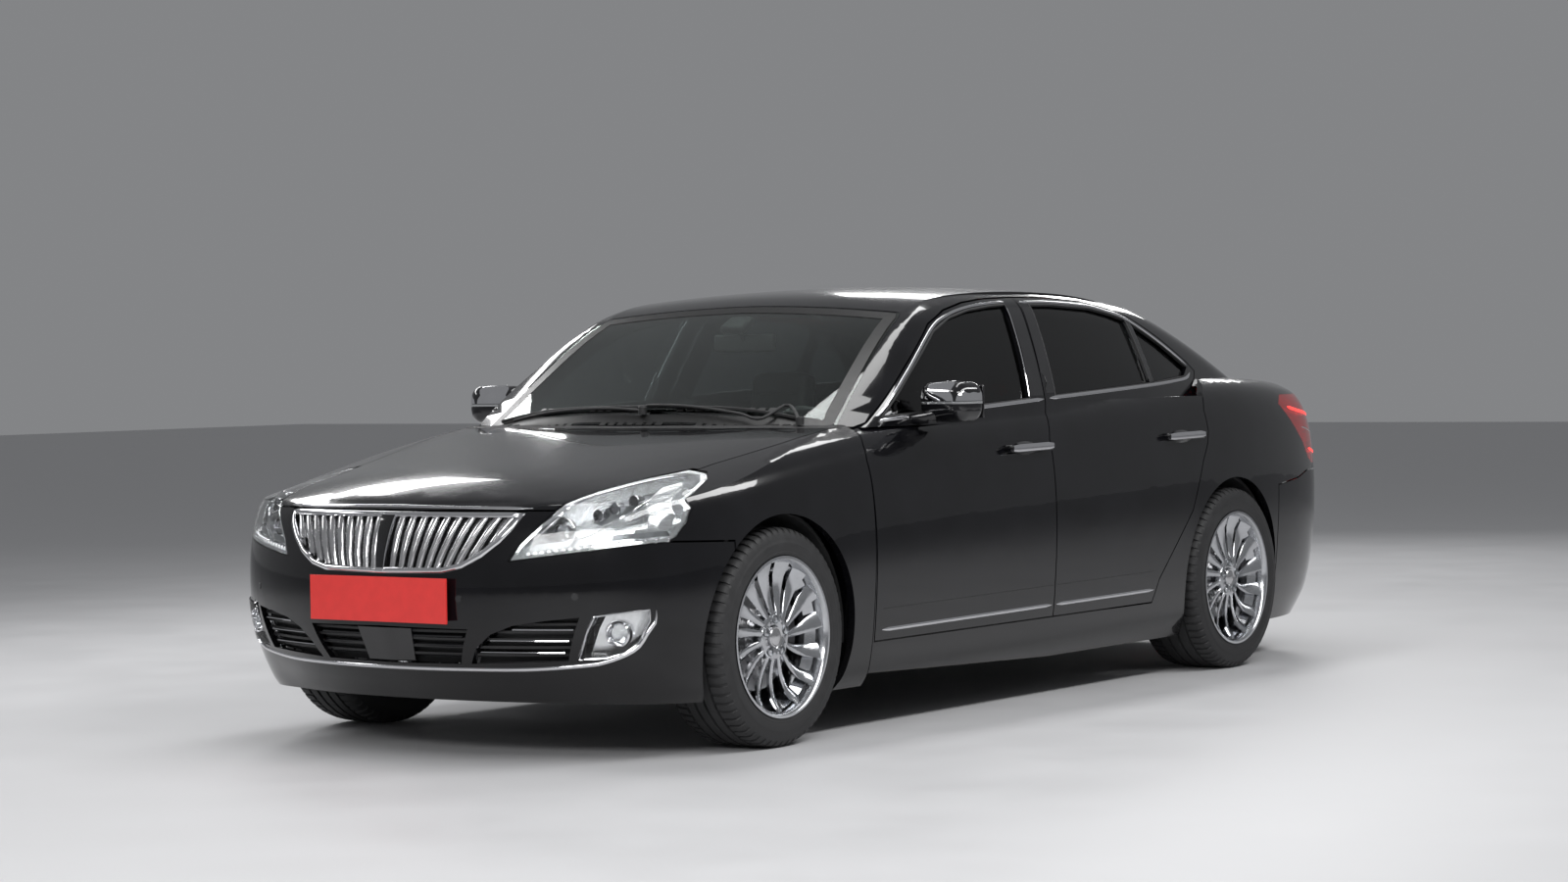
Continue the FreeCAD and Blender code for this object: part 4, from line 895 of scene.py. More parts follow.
def lamp_sheet(ring, d_top, d_low):
    """Plate behind the lens whose front face lies d_top behind it."""
    def behind(x, z, on):
        p, _ = from_front(x, z, LENS_SKIN)
        return Vector((x, p.y, z)), Vector((0, -1, 0))
    return plate(ring, behind, -d_top, -d_low, 0.02)


eye_ground = lamp_sheet([(0.640, 0.738), (0.664, 0.728), (0.772, 0.793), (0.764, 0.822), (0.735, 0.824),
    (0.650, 0.772)], 0.088, 0.094)
shelf_lamp = lamp_sheet([(0.500, 0.655), (0.640, 0.670), (0.760, 0.690), (0.845, 0.697), (0.838, 0.712),
    (0.750, 0.706), (0.630, 0.690), (0.510, 0.676)], 0.040, 0.046)
indicator = lamp_sheet([(0.806, 0.712), (0.846, 0.716), (0.846, 0.760), (0.826, 0.802), (0.792, 0.834),
    (0.752, 0.852), (0.742, 0.838), (0.776, 0.806), (0.800, 0.764)], 0.034, 0.040)
ribs = []
for k in range(7):
    f = k / 6
    x0, x1 = 0.800 - 0.045 * f ** 2, 0.846 - 0.070 * f ** 2
    z = 0.722 + 0.115 * f
    ribs.append(tube([lamp_point(x0, z, 0.033), lamp_point(x1, z + 0.004, 0.033)], 0.0013, 6))
brow = [lamp_point(x, z, 0.030) for x, z in ((0.500, 0.682), (0.560, 0.744), (0.604, 0.798), (0.655, 0.846),
    (0.700, 0.866), (0.748, 0.862))]
brow_trim = tube(spline(brow, 0.015), 0.0035, 8)
fin = [lamp_point(x, z, 0.045) for x, z in ((0.520, 0.690), (0.600, 0.682), (0.680, 0.712), (0.740, 0.760),
    (0.775, 0.806))]
fin_trim = tube(spline(fin, 0.015), 0.003, 8)
pair("lamp_bowls", bowl, FLUTED)
pair("lamp_bezels", join(*rings, brow_trim, fin_trim), CHROME, slot="lamp_chrome")
pair("lamp_eyes", join(*eyes), LENS)
pair("lamp_dark_bezel", join(eye_ground, shelf_lamp), DARK_ALLOY_AND_SHADE)
pair("lamp_indicator", indicator, FLUTED)
pair("lamp_indicator_ribs", join(*ribs), DARK_ALLOY_AND_SHADE)
pair("lamp_diodes", join(*diodes), LED)


# Bumper
NOSE_SKIN = tree("front_bumper")
low_half = [(0, 0.289), (0.262, 0.290), (0.487, 0.293), (0.662, 0.307), (0.716, 0.318), (0.769, 0.340),
    (0.800, 0.365), (0.822, 0.407), (0.838, 0.437), (0.842, 0.474)]
low_strip = [(-x, z) for x, z in reversed(low_half[1:])] + low_half
piece("bumper_chrome_strip", strip(low_strip, from_front, half_round(0.014, 0.005, 6, 0.003), 0.02, taper=3,
    on=NOSE_SKIN), CHROME)
FOG_X, FOG_Z = 0.742, 0.402
m = aimed(Vector((FOG_X, on_nose(FOG_X, FOG_Z, 0).y + 0.040, FOG_Z)), Vector((0.25, -1, 0)))
fog_ring = turned(lathe([(0.012, 0.030), (0.020, 0.036), (0.016, 0.040), (-0.004, 0.040), (-0.018, 0.026)],
    36, "z"), m)
fog_eye = turned(dome(0.0285, 0.014, 28), m)
pair("fog_rings", fog_ring, CHROME, slot="lamp_chrome")
pair("fog_eyes", fog_eye, LENS)
fog_pan = plate(grown(FOG, -0.004), nose_caster(0.054), 0, -0.003, 0.02)
pair("fog_reflectors", fog_pan, FLUTED)
fog_edge = [nose_caster(0.001)(x, z) for x, z in dense(grown(FOG, -0.002), 0.02)]
pair("fog_edges", laid(fog_edge, both_sides([(0.003, -0.006), (0.003, 0.0005), (0, 0.0022)]), True), CHROME,
    slot="lamp_chrome")

slat = []
for z in (0.345, 0.382, 0.418):
    xs = [x / 1000 for x in range(300, 680, 20) if inside((x / 1000, z), grown(SIDE_INTAKE, -0.004))]
    if len(xs) > 2:
        path = [nose_caster(0.010)(x, z) for x in xs]
        slat.append(laid(path, both_sides([(0.0022, -0.012), (0.0022, 0), (0, 0.0015)])))
pair("intake_chrome_slats", join(*slat), CHROME)
mid = []
for z in (0.335, 0.364, 0.392):
    xs = [x / 1000 for x in range(-330, 331, 20) if inside((x / 1000, z), grown(MID_INTAKE, -0.004))]
    path = [nose_caster(0.012)(x, z) for x in xs]
    mid.append(laid(path, both_sides([(0.004, -0.014), (0.004, 0), (0, 0.003)])))
piece("intake_mid_bars", join(*mid), BLACK)
piece("intake_panel", plate([(-0.095, 0.312), (0.095, 0.312), (0.110, 0.416), (-0.110, 0.416)],
    nose_caster(0.006), 0, -0.012, 0.02), BLACK, sharp=25)
sensors = []
for x, z in ((0.30, 0.512), (0.655, 0.520), (-0.30, 0.512), (-0.655, 0.520)):
    p, n = from_front(x, z, NOSE_SKIN)
    sensors.append(turned(lathe([(0.0018, 0.0095), (0.0018, 0.0004), (-0.004, 0.0004), (-0.004, 0.0115),
        (0.0006, 0.0115), (0.0006, 0.0098)], 20, "z"), aimed(p, n)))
piece("parking_sensors", join(*sensors), BLACK)


# Front plate with rounded corners on its holder
def round_plate(w, h, r, y0, y1, z, n=6):
    """Plate w by h at height z, its face at y0 and its back at y1."""
    pts = []
    for sx, sz, start in ((1, 1, 0), (-1, 1, 90), (-1, -1, 180), (1, -1, 270)):
        for k in range(n + 1):
            a = math.radians(start + 90 * k / n)
            pts.append((sx * (w / 2 - r) + r * math.cos(a), sz * (h / 2 - r) + r * math.sin(a)))
    edge = 0.0012
    back = [Vector((x, y1, z + up)) for x, up in pts]
    front = [Vector((x, y0 + edge, z + up)) for x, up in pts]
    face = [Vector((x * (1 - 2 * edge / w), y0, z + up * (1 - 2 * edge / h))) for x, up in pts]
    return capped([back, front, face])


piece("front_plate_face", round_plate(0.559, 0.139, 0.012, -2.5905, -2.5840, 0.506), PLATE, sharp=30)


# Side windows and doors
WIN_F = [(-1.000, 1.035), (-0.780, 1.172), (-0.540, 1.314), (-0.400, 1.362), (-0.250, 1.390),
    (-0.100, 1.404), (0.012, 1.410), (-0.078, 1.078), (-0.500, 1.058)]
WIN_R1 = [(0.112, 1.086), (0.190, 1.410), (0.350, 1.410), (0.622, 1.398), (0.770, 1.376), (0.862, 1.355),
    (0.862, 1.118)]
WIN_R2 = [(0.900, 1.120), (0.900, 1.341), (1.090, 1.256), (1.250, 1.170), (1.200, 1.140)]
DOOR_SKIN = {n: tree(f"door_{n}_left") for n in ("front", "rear")}
CHROME_BEAD = half_round(0.0115, 0.0036, 6, 0.002)


def lifted(points, d):
    """Open polyline moved sideways by d."""
    out = []
    for i, p in enumerate(points):
        a, b = points[max(i - 1, 0)], points[min(i + 1, len(points) - 1)]
        t = Vector((b[0] - a[0], b[1] - a[1])).normalized()
        out.append((p[0] - t.y * d, p[1] + t.x * d))
    return out


def door_bead(name, line, door, section, look=CHROME, taper=2):
    """Proud line along a door's skin."""
    pair(name, strip(line, from_side, section, 0.02, taper=taper, on=DOOR_SKIN[door]), look,
        f"door_{door}_%s")


def door_patch(name, ring, door, lift=0.0014):
    """Gloss black patch on a door's skin."""
    pair(name, plate(ring, from_side, lift, -0.001, 0.02, DOOR_SKIN[door]), BLACK, f"door_{door}_%s",
        sharp=25)


top_f = lifted([(-1.030, 1.024), (-1.000, 1.035), (-0.780, 1.172), (-0.540, 1.314), (-0.400, 1.362),
    (-0.250, 1.390), (-0.100, 1.404), (0.030, 1.4105)], 0.013)
belt_f = lifted([(-1.030, 1.026), (-1.000, 1.033), (-0.750, 1.0455), (-0.500, 1.0575), (-0.300, 1.067),
    (-0.078, 1.0775), (0.020, 1.082)], -0.010)
top_r = lifted([(0.130, 1.4105), (0.190, 1.411), (0.350, 1.411), (0.622, 1.399), (0.770, 1.377),
    (0.880, 1.350), (1.090, 1.256), (1.255, 1.170)], 0.012)
belt_r = lifted([(0.060, 1.084), (0.112, 1.0865), (0.480, 1.102), (0.862, 1.118), (1.060, 1.128),
    (1.205, 1.139), (1.265, 1.160)], -0.010)
for tag, top, belt in (("front", top_f, belt_f), ("rear", top_r, belt_r)):
    door_bead(f"window_chrome_{tag}_top", top, tag, CHROME_BEAD)
    door_bead(f"window_chrome_{tag}_belt", belt, tag, half_round(0.014, 0.004, 6, 0.002))
pillar_f = [(-0.072, 1.084), (-0.016, 1.255), (0.019, 1.404), (0.100, 1.402), (0.060, 1.250), (0.022, 1.084)]
pillar_r = [(0.034, 1.092), (0.118, 1.404), (0.182, 1.404), (0.150, 1.260), (0.108, 1.092)]
door_patch("pillar_black_front", pillar_f, "front")
door_patch("pillar_black_rear", pillar_r, "rear")
pillar_line = [(-0.076, 1.084), (-0.030, 1.240), (0.012, 1.400)]
door_bead("pillar_edge_front", pillar_line, "front", half_round(0.006, 0.003, 5, 0.002), taper=0)
door_patch("quarter_divider", [(0.866, 1.122), (0.866, 1.350), (0.897, 1.338), (0.897, 1.124)], "rear")
for tag, ring, door in (("front", WIN_F, "front"), ("rear", WIN_R1, "rear"), ("quarter", WIN_R2, "rear")):
    edge = [from_side(y, z, DOOR_SKIN[door]) for y, z in dense(grown(ring, 0.004), 0.02)]
    pair("window_seal_" + tag, laid(edge, [(0.004, -0.008), (0.004, 0.001), (0, 0.0022), (-0.0035, 0.001),
        (-0.0035, -0.008)], True), PLASTIC, f"door_{door}_%s")

# Door handles: chrome caps and dark cups behind them
HANDLE_X = 0.9585
for tag, y0, z0 in (("front", -0.355, 0.905), ("rear", 0.778, 0.914)):
    line = [(HANDLE_X, y0 + 0.285 * f, z0 + 0.004 * f) for f in (0.02, 0.15, 0.35, 0.5, 0.65, 0.85, 0.98)]
    path = spline(line, 0.015)
    n = len(path)
    prof = both_sides([(0.0128, -0.006), (0.0134, 0.000), (0.0112, 0.0034), (0.005, 0.0048)])
    scale = [min(1.0, 0.72 + 0.14 * i, 0.72 + 0.14 * (n - 1 - i)) for i in range(n)]
    pair("handle_cap_" + tag, sweep(path, [Vector((1, 0, 0))] * n, prof, False, scale), CHROME,
        f"door_{tag}_%s")
    cup = [(y0 + 0.142 + 0.085 * math.cos(a), z0 - 0.002 + 0.024 * math.sin(a)) for a in circle(28)]
    door_patch("handle_cup_" + tag, cup, tag, 0.0012)

# Lower chrome strips of the doors and the seam above them
for tag, y0, y1 in (("front", -1.150, -0.052), ("rear", -0.020, 0.700)):
    ys = [y0 + (y1 - y0) * k / 12 for k in range(13)]
    line = [(y, 0.333 + 0.012 * (y + 1.15) / 1.87) for y in ys]
    door_bead("door_chrome_low_" + tag, line, tag, half_round(0.0145, 0.005, 6, 0.002))
    groove = [(y, z + 0.070) for y, z in line]
    door_bead("door_seam_" + tag, groove, tag, half_round(0.0022, 0.0005, 4, 0.001), FRIT, 0)

# Door mirrors: chrome top cap, indicator strip, black foot and silvered glass
MIRROR_AT = Vector((0.985, -0.790, 1.078))
MIRROR_YAW = -12


def mirror_shell(f0, f1, out):
    """Part of the mirror's rounded shell between two height fractions."""
    turn = Matrix.Rotation(math.radians(MIRROR_YAW), 3, "Z")
    rows = []
    for i in range(13):
        v = f0 + (f1 - f0) * i / 12
        row = []
        for t in circle(40):
            cx = squarish(math.cos(t), 0.5)
            cy = squarish(math.sin(t), 0.5)
            rz = max(0.02, (1 - abs(v) ** 3.2) ** (1 / 3.2))
            p = Vector(((0.105 + out) * cx * rz, (0.062 + out) * cy * rz, (0.068 + out) * v))
            row.append(MIRROR_AT + turn @ p)
        rows.append(row)
    inner = [[MIRROR_AT + (p - MIRROR_AT) * 0.93 for p in r] for r in rows]
    return grid(rows + list(reversed(inner)) + [rows[0]])


pair("mirror_cap", mirror_shell(0.05, 0.995, 0.0025), CHROME, "door_front_%s", sharp=50)
pair("mirror_lower", mirror_shell(-0.995, -0.12, 0.0018), BLACK, "door_front_%s", sharp=50)
pair("mirror_signal", mirror_shell(-0.09, 0.02, 0.0030), FLUTED, "door_front_%s", slot="lamp_lens", sharp=50)
glass_at = placed(MIRROR_AT, MIRROR_YAW, "Z")
pane = block(-0.086, 0.086, 0.0605, 0.0665, -0.048, 0.048, 0.003, 2)
rim_m = block(-0.093, 0.093, 0.0560, 0.0640, -0.055, 0.055, 0.006, 3)
pair("mirror_glass_pane", turned(pane, glass_at), MIRROR, "door_front_%s")
pair("mirror_glass_rim", turned(rim_m, glass_at), BLACK, "door_front_%s")
stalk_path = spline([(0.846, -0.840, 1.020), (0.880, -0.835, 1.022), (0.915, -0.822, 1.028),
    (0.950, -0.806, 1.040)], 0.01)
stalk = sweep(stalk_path, [Vector((0, 0, 1))] * len(stalk_path),
    [(0.034 * math.cos(a), 0.020 * math.sin(a)) for a in circle(16)])
pair("mirror_stalk", stalk, BLACK, "door_front_%s")


# Windscreen, scuttle and wipers
SCREEN_SKIN = tree("windscreen")
REAR_GLASS = tree("rear_window")
ring_s = [(0, -1.284), (0.380, -1.254), (0.722, -1.168), (0.738, -1.146), (0.642, -0.604), (0.626, -0.576),
    (0, -0.560)]
screen_ring = both_sides(ring_s)
outer_s = dense(screen_ring, 0.03)
inner_s = dense(grown(screen_ring, -0.045), 0.03)


def band(outer, inner, on, lift):
    """Printed border between two 2-D outlines, as a thin closed plate."""
    match = [min(inner, key=lambda q: math.dist(p, q)) for p in outer]
    rows = []
    for d in (lift, lift - 0.0006):
        for ps in (outer, match):
            row = []
            for a, b in ps:
                loc, nrm = from_top(a, b, on)
                row.append(loc + nrm * d)
            rows.append(row)
    return grid([rows[i] for i in (0, 1, 3, 2, 0)])


BORDER_LIFT = 0.0008
piece("windscreen_border", band(outer_s, inner_s, SCREEN_SKIN, BORDER_LIFT), FRIT)
ring_r = [(0, 1.158), (0.552, 1.138), (0.592, 1.166), (0.634, 1.690), (0.614, 1.748), (0.514, 1.808),
    (0.298, 1.844), (0, 1.858)]
rear_ring = both_sides(ring_r)
piece("rear_window_border", band(dense(rear_ring, 0.03), dense(grown(rear_ring, -0.040), 0.03), REAR_GLASS,
    BORDER_LIFT), FRIT)
heat = []
for k in range(9):
    y = 1.225 + 0.062 * k
    w = 0.50 + 0.08 * k / 9
    xs = [w * (2 * i / 16 - 1) for i in range(17)]
    pts = [from_top(x, y + 0.006 * (1 - (x / w) ** 2), REAR_GLASS) for x in xs]
    heat.append(laid(pts, both_sides([(0.0007, -0.0002), (0.0007, 0.0004)])))
piece("rear_window_heater", join(*heat), FRIT)
for tag, x0, x1 in (("driver", 0.66, 0.02), ("passenger", 0.02, -0.58)):
    pts = []
    for k in range(9):
        f = k / 8
        x = x0 + (x1 - x0) * f
        y = -1.235 + 0.03 * math.sin(math.pi * f * 0.5) + 0.045 * max(0, abs(x) - 0.3)
        loc, nrm = from_top(x, y)
        pts.append(loc + nrm * (0.016 + 0.006 * math.sin(math.pi * f)))
    arm = tube(spline(pts, 0.02), 0.0055, 8)
    blade = []
    for k in range(13):
        f = k / 12
        x = x0 - 0.03 + (x1 - 0.06 - x0) * f
        y = -1.205 + 0.042 * max(0, abs(x) - 0.2) / 0.4 + 0.010 * math.sin(math.pi * f)
        blade.append(from_top(x, y))
    rub = laid(blade, both_sides([(0.0035, 0.0025), (0.006, 0.008), (0.002, 0.014)]))
    knob = lathe([(-0.012, 0.014), (0.012, 0.014), (0.016, 0.010), (0.016, 0.0005), (-0.012, 0.0005)], 20,
        "z", at=pts[0])
    piece("wiper_" + tag, join(arm, rub, knob), PLASTIC)
# Black blocks on the scuttle: their dark colour is painted shade standing in for its slot openings
slots = []
for i in range(-16, 17):
    x = i * 0.04
    y = -1.285 + 0.085 * (abs(x) / 0.66) ** 2
    slots.append(turned(block(-0.013, 0.013, -0.011, 0.011, -0.001, 0.0018, 0.0008, 1),
        aimed(*from_top(x, y))))
piece("scuttle_slot_shades", join(*slots), FRIT)


# Seats
def cushion(width, length, thick, crown=0.03, cross=(), along=(), groove=0.010, bolster=0.0, pull=0.035,
        ny=64, nk=72):
    """Upholstered pad: crowned top, sides pulled in, sewn channels across and along."""
    rows = []
    for j in range(ny + 1):
        v = -1 + 2 * j / ny
        end = max(0.03, (1 - abs(v) ** 6) ** (1 / 6))
        row = []
        for t in circle(nk):
            c = squarish(math.cos(t), 0.42)
            s = squarish(math.sin(t), 0.42)
            x = width / 2 * c * end * (1 - pull * (1 - v * v))
            z = thick / 2 * s * (0.25 + 0.75 * end)
            u = x / (width / 2)
            if s > 0.2:
                z += crown * (1 - v * v) * (1 - u * u)
                side = min(1.0, max(0.0, (abs(u) - 0.60) / 0.22))
                z += bolster * side * side * (3 - 2 * side) * end
                for g in cross:
                    if abs(u) < 0.66:
                        z -= groove * math.exp(-((v - g) / 0.030) ** 2)
                for g in along:
                    z -= groove * math.exp(-((u - g) / 0.035) ** 2)
            row.append(Vector((x, length / 2 * v * (1 - 0.5 * pull * (1 - c * c)), z)))
        rows.append(row)
    return capped(rows)


WHEELHOUSE_R = 0.402


def off_wheelhouse(shape):
    """Presses a rear seat part out of the wheelhouses beside it."""
    vs, fs = shape
    out = []
    for v in vs:
        p = Vector(v)
        d = Vector((0, p.y - REAR_AXLE_Y, p.z - TYRE_R))
        if abs(p.x) > 0.44 and d.length < WHEELHOUSE_R:
            p = p + d.normalized() * (WHEELHOUSE_R - d.length)
        out.append(p)
    return out, fs


def seat_part(name, shape, place, lean, node_name):
    """Puts a pad in the cabin: lean 0 lies flat, 90 stands facing forward."""
    laid_out = turned(shape, placed(place, lean))
    if node_name == "rear_seat":
        laid_out = off_wheelhouse(laid_out)
    o = piece(name, laid_out, LEATHER, sharp=60)
    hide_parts(node_name)


SEAT_X = 0.385
DRIVER_X = 0.365
CHANNELS = (-0.62, -0.36, -0.10, 0.16, 0.42)
for side, s in SIDES:
    x = s * SEAT_X
    seat_part(f"front_cushion_{side}", cushion(0.51, 0.52, 0.175, 0.012, CHANNELS, (-0.58, 0.58),
        bolster=0.030), (x, -0.300, 0.408), 0, "front_seats")
    seat_part(f"front_back_{side}", cushion(0.51, 0.64, 0.145, 0.012, CHANNELS, (-0.58, 0.58),
        bolster=0.038), (x, 0.015, 0.722), 72, "front_seats")
    seat_part(f"front_headrest_{side}", cushion(0.265, 0.175, 0.088, 0.012, (0.0,), groove=0.004),
        (x, 0.172, 1.088), 80, "front_seats")
    posts = [tube([(x + d, 0.168, 0.960), (x + d, 0.170, 1.050)], 0.006, 12) for d in (-0.065, 0.065)]
    piece(f"front_headrest_posts_{side}", join(*posts), CHROME)
    shell = block(x - 0.235, x + 0.235, -0.540, -0.050, 0.2265, 0.335, 0.02, 3)
    piece(f"front_seat_base_{side}", shell, PLASTIC)
for tag, x, w in (("left", 0.415, 0.455), ("middle", 0.0, 0.365), ("right", -0.415, 0.455)):
    seat_part(f"rear_cushion_{tag}", cushion(w, 0.54, 0.185, 0.018, CHANNELS), (x, 0.715, 0.448), 0,
        "rear_seat")
    seat_part(f"rear_back_{tag}", cushion(w, 0.62, 0.140, 0.018, CHANNELS), (x, 1.050, 0.722), 70,
        "rear_seat")
    if tag != "middle":
        rx = math.copysign(0.36, x)
        seat_part(f"rear_headrest_{tag}", cushion(0.25, 0.17, 0.085, 0.012, (0.0,), groove=0.004),
            (rx, 1.190, 1.072), 80, "rear_seat")

# Steering wheel: pad, silver spokes, switches and rim seams
WHEEL_AT = placed((DRIVER_X, -0.700, 0.880), 24)


def on_wheel(shape):
    """Sets a shape drawn flat on the turned steering wheel."""
    return turned(shape, WHEEL_AT)


pad = block(-0.074, 0.074, -0.010, 0.030, -0.070, 0.060, 0.020, 4)
piece("wheel_pad", on_wheel(pad), LEATHER, "steering_wheel")
spokes = both(block(0.074, 0.150, 0.000, 0.0125, -0.014, 0.014, 0.005, 2))
low_spoke = block(-0.014, 0.014, 0.000, 0.0125, -0.158, -0.066, 0.005, 2)
piece("wheel_spoke_trim", on_wheel(join(spokes, low_spoke)), SATIN, "steering_wheel")
keys = [block(0.104 + dx - 0.008, 0.104 + dx + 0.008, 0.010, 0.0165, dz - 0.005, dz + 0.005, 0.002, 2)
    for dx in (-0.012, 0.012) for dz in (-0.007, 0.007)]
piece("wheel_switches", on_wheel(both(join(*keys))), PLASTIC, "steering_wheel")
grip = [lathe([(-0.0012, 0.1845), (0.0012, 0.1845), (0.0012, 0.1862), (-0.0012, 0.1862)], 96, "y",
    at=(0, d, 0)) for d in (-0.0165, 0.0165)]
piece("wheel_rim_seams", on_wheel(join(*grip)), TRIM, "steering_wheel")
stalks = [tube([(DRIVER_X + s * 0.03, -0.765, 0.850), (DRIVER_X + s * 0.12, -0.760, 0.868),
    (DRIVER_X + s * 0.16, -0.757, 0.872)], 0.008, 10) for s in (1, -1)]
piece("column_stalks", join(*stalks), PLASTIC)


# Dashboard
def outlet(x0, x1, z0, z1, y, count):
    """Chrome-framed outlet with blades behind its front edge."""
    frame_parts = [block(x0 - 0.004, x1 + 0.004, y, y + 0.008, z, z + 0.004, 0.001, 1)
        for z in (z0 - 0.004, z1)]
    frame_parts += [block(x, x + 0.004, y, y + 0.008, z0 - 0.004, z1 + 0.004, 0.001, 1)
        for x in (x0 - 0.004, x1)]
    blades = [block(x0, x1, y - 0.001, y + 0.005, z0 + (z1 - z0) * (i + 0.35) / count,
        z0 + (z1 - z0) * (i + 0.65) / count, 0.0008, 1) for i in range(count)]
    return join(*frame_parts), join(*blades)


arch = [(DRIVER_X + 0.175 * math.cos(math.pi * k / 24), 0.942 + 0.070 * math.sin(math.pi * k / 24))
    for k in range(25)]
cowl_out = [Vector((x - DRIVER_X, 0, (z - 0.930) * 2)).normalized() for x, z in arch]
cowl = sweep([Vector((x, -1.015, z)) for x, z in arch], cowl_out,
    [(-0.075, -0.010), (0.075, -0.004), (0.078, 0.002), (0.070, 0.008), (-0.070, 0.008), (-0.085, 0.0)])
piece("instrument_cowl", cowl, TRIM)
cluster = turned(block(-0.158, 0.158, -0.008, 0.008, -0.040, 0.040, 0.006, 3),
    placed((DRIVER_X, -0.985, 0.962), -22))
piece("instrument_glass", cluster, SCREEN)
display_at = placed((0, -0.938, 0.935), -38)
screen = turned(block(-0.118, 0.118, -0.008, 0.008, -0.043, 0.043, 0.006, 3), display_at)
piece("centre_display", screen, SCREEN)
bezel = turned(block(-0.126, 0.126, -0.010, 0.004, -0.051, 0.051, 0.007, 3), display_at)
piece("centre_display_rim", bezel, TRIM)
rims, blades = [], []
for x0, x1 in ((-0.112, -0.008), (0.008, 0.112), (0.560, 0.645), (-0.645, -0.560)):
    a, b = outlet(x0, x1, 0.822, 0.868, -0.901, 5)
    rims.append(a)
    blades.append(b)
piece("air_outlet_frames", join(*rims), SATIN)
piece("air_outlet_blades", join(*blades), BLACK)
piece("dash_wood", both(block(0.122, 0.656, -0.902, -0.896, 0.786, 0.812, 0.002, 2)), WOOD)
keys = [block(x - 0.011, x + 0.011, -0.893, -0.886, z - 0.007, z + 0.007, 0.002, 2)
    for z in (0.715, 0.742, 0.769) for x in (-0.084, -0.056, -0.028, 0.0, 0.028, 0.056, 0.084)]
piece("centre_switches", join(*keys), PLASTIC)
knobs = [lathe([(0, 0.0005), (0, 0.016), (0.016, 0.014), (0.018, 0.0005)], 24, "y", at=(x, -0.892, 0.690),
    closed=False) for x in (-0.075, 0.075)]
piece("centre_knobs", join(*knobs), SATIN)
piece("glovebox_edge", block(-0.600, -0.150, -0.906, -0.898, 0.779, 0.782, 0.001, 1), FRIT)
piece("console_wood", block(-0.106, 0.106, -0.860, -0.230, 0.638, 0.645, 0.003, 2), WOOD)
lever = join(tube([(0, -0.560, 0.640), (0, -0.545, 0.715)], 0.009, 12),
    block(-0.020, 0.020, -0.575, -0.510, 0.712, 0.748, 0.014, 4))
piece("gear_lever", lever, LEATHER)
piece("gear_gate", block(-0.040, 0.040, -0.625, -0.480, 0.642, 0.648, 0.003, 2), SATIN)
holders = [lathe([(0.0, 0.036), (0.004, 0.036), (0.004, 0.042), (0.0, 0.042)], 32, "z",
    at=(x, -0.360, 0.644)) for x in (-0.048, 0.048)]
piece("cup_holder_rings", join(*holders), SATIN)
arm = turned(cushion(0.215, 0.30, 0.070, 0.010, pull=0.02, ny=32, nk=48), placed((0, -0.080, 0.668)))
piece("console_armrest", arm, LEATHER, sharp=60)

# Carpet, headliner, cabin mirror and door linings
piece("front_carpet", both(block(0.125, 0.620, -1.180, 0.430, 0.2256, 0.2320, 0.002, 1)), CARPET)
liner = [(-0.520, -0.480), (0.520, -0.480), (0.535, 0.200), (0.520, 0.980), (-0.520, 0.980), (-0.535, 0.200)]
ROOF_SKIN = tree("roof")
piece("headliner", plate(liner, from_top, -0.0205, -0.0245, 0.06, ROOF_SKIN), TRIM)
screen_at, screen_n = from_top(0, -0.660, SCREEN_SKIN)
housing = turned(block(-0.050, 0.050, -0.045, 0.045, -0.040, -0.008, 0.010, 3), aimed(screen_at, screen_n))
piece("screen_sensor_box", housing, PLASTIC)
mirror_at = screen_at + Vector((0, 0.055, -0.085))
mirror_turn = placed(mirror_at, 8, "Z")
head = turned(block(-0.122, 0.122, -0.014, 0.014, -0.032, 0.032, 0.012, 4), mirror_turn)
glass = turned(block(-0.112, 0.112, 0.0125, 0.0150, -0.025, 0.025, 0.001, 1), mirror_turn)
neck = tube([screen_at - screen_n * 0.030, mirror_at], 0.008, 12)
piece("cabin_mirror", join(head, neck), PLASTIC)
piece("cabin_mirror_glass", glass, MIRROR)
for tag, y0, y1 in (("front", -0.950, -0.120), ("rear", 0.060, 0.640)):
    pull = [(0.826, y0 + 0.06, 0.855), (0.806, y0 + 0.08, 0.856), (0.804, y0 + 0.13, 0.856),
        (0.826, y0 + 0.15, 0.855)]
    for name, shape, look in (("armrest", block(0.748, 0.830, y0 + 0.03, y1 - 0.03, 0.640, 0.690, 0.018, 3),
            LEATHER), ("pocket", block(0.800, 0.834, y0, y1, 0.420, 0.640, 0.012, 3), TRIM),
            ("wood", block(0.806, 0.832, y0 + 0.02, y1 - 0.02, 0.785, 0.815, 0.006, 2), WOOD),
            ("release", tube(spline(pull, 0.01), 0.007, 10), CHROME)):
        pair(f"door_{name}_{tag}", shape, look, f"door_{tag}_%s")


# Rear lamps and bumper
LAMP_SKIN = tree("tail_lamps")


def wrap_strip(points, profile, on, step=0.015, taper=2):
    """Strip through 3-D points that are laid on the nearest skin."""
    return eased([near(p, on) for p in spline(points, step)], profile, taper, 3)


upper = [(0.872, 1.930, 1.005), (0.868, 2.080, 0.992), (0.830, 2.250, 0.980), (0.760, 2.370, 0.972),
    (0.620, 2.440, 0.968)]
lower_line = [(0.872, 2.130, 0.830), (0.840, 2.270, 0.815), (0.760, 2.400, 0.806), (0.640, 2.470, 0.802)]
middle = [(0.868, 2.060, 0.920), (0.836, 2.250, 0.900), (0.760, 2.385, 0.890), (0.630, 2.455, 0.886)]
pair("tail_lit_strip", wrap_strip(upper, half_round(0.014, 0.0025, 6), LAMP_SKIN), RED_GLOW)
pair("tail_lit_low", wrap_strip(lower_line, half_round(0.012, 0.0025, 6), LAMP_SKIN), RED_GLOW)
pair("tail_divider", wrap_strip(middle, half_round(0.005, 0.0015, 5), LAMP_SKIN), CHROME)
LID_SKIN = tree("boot_lid")
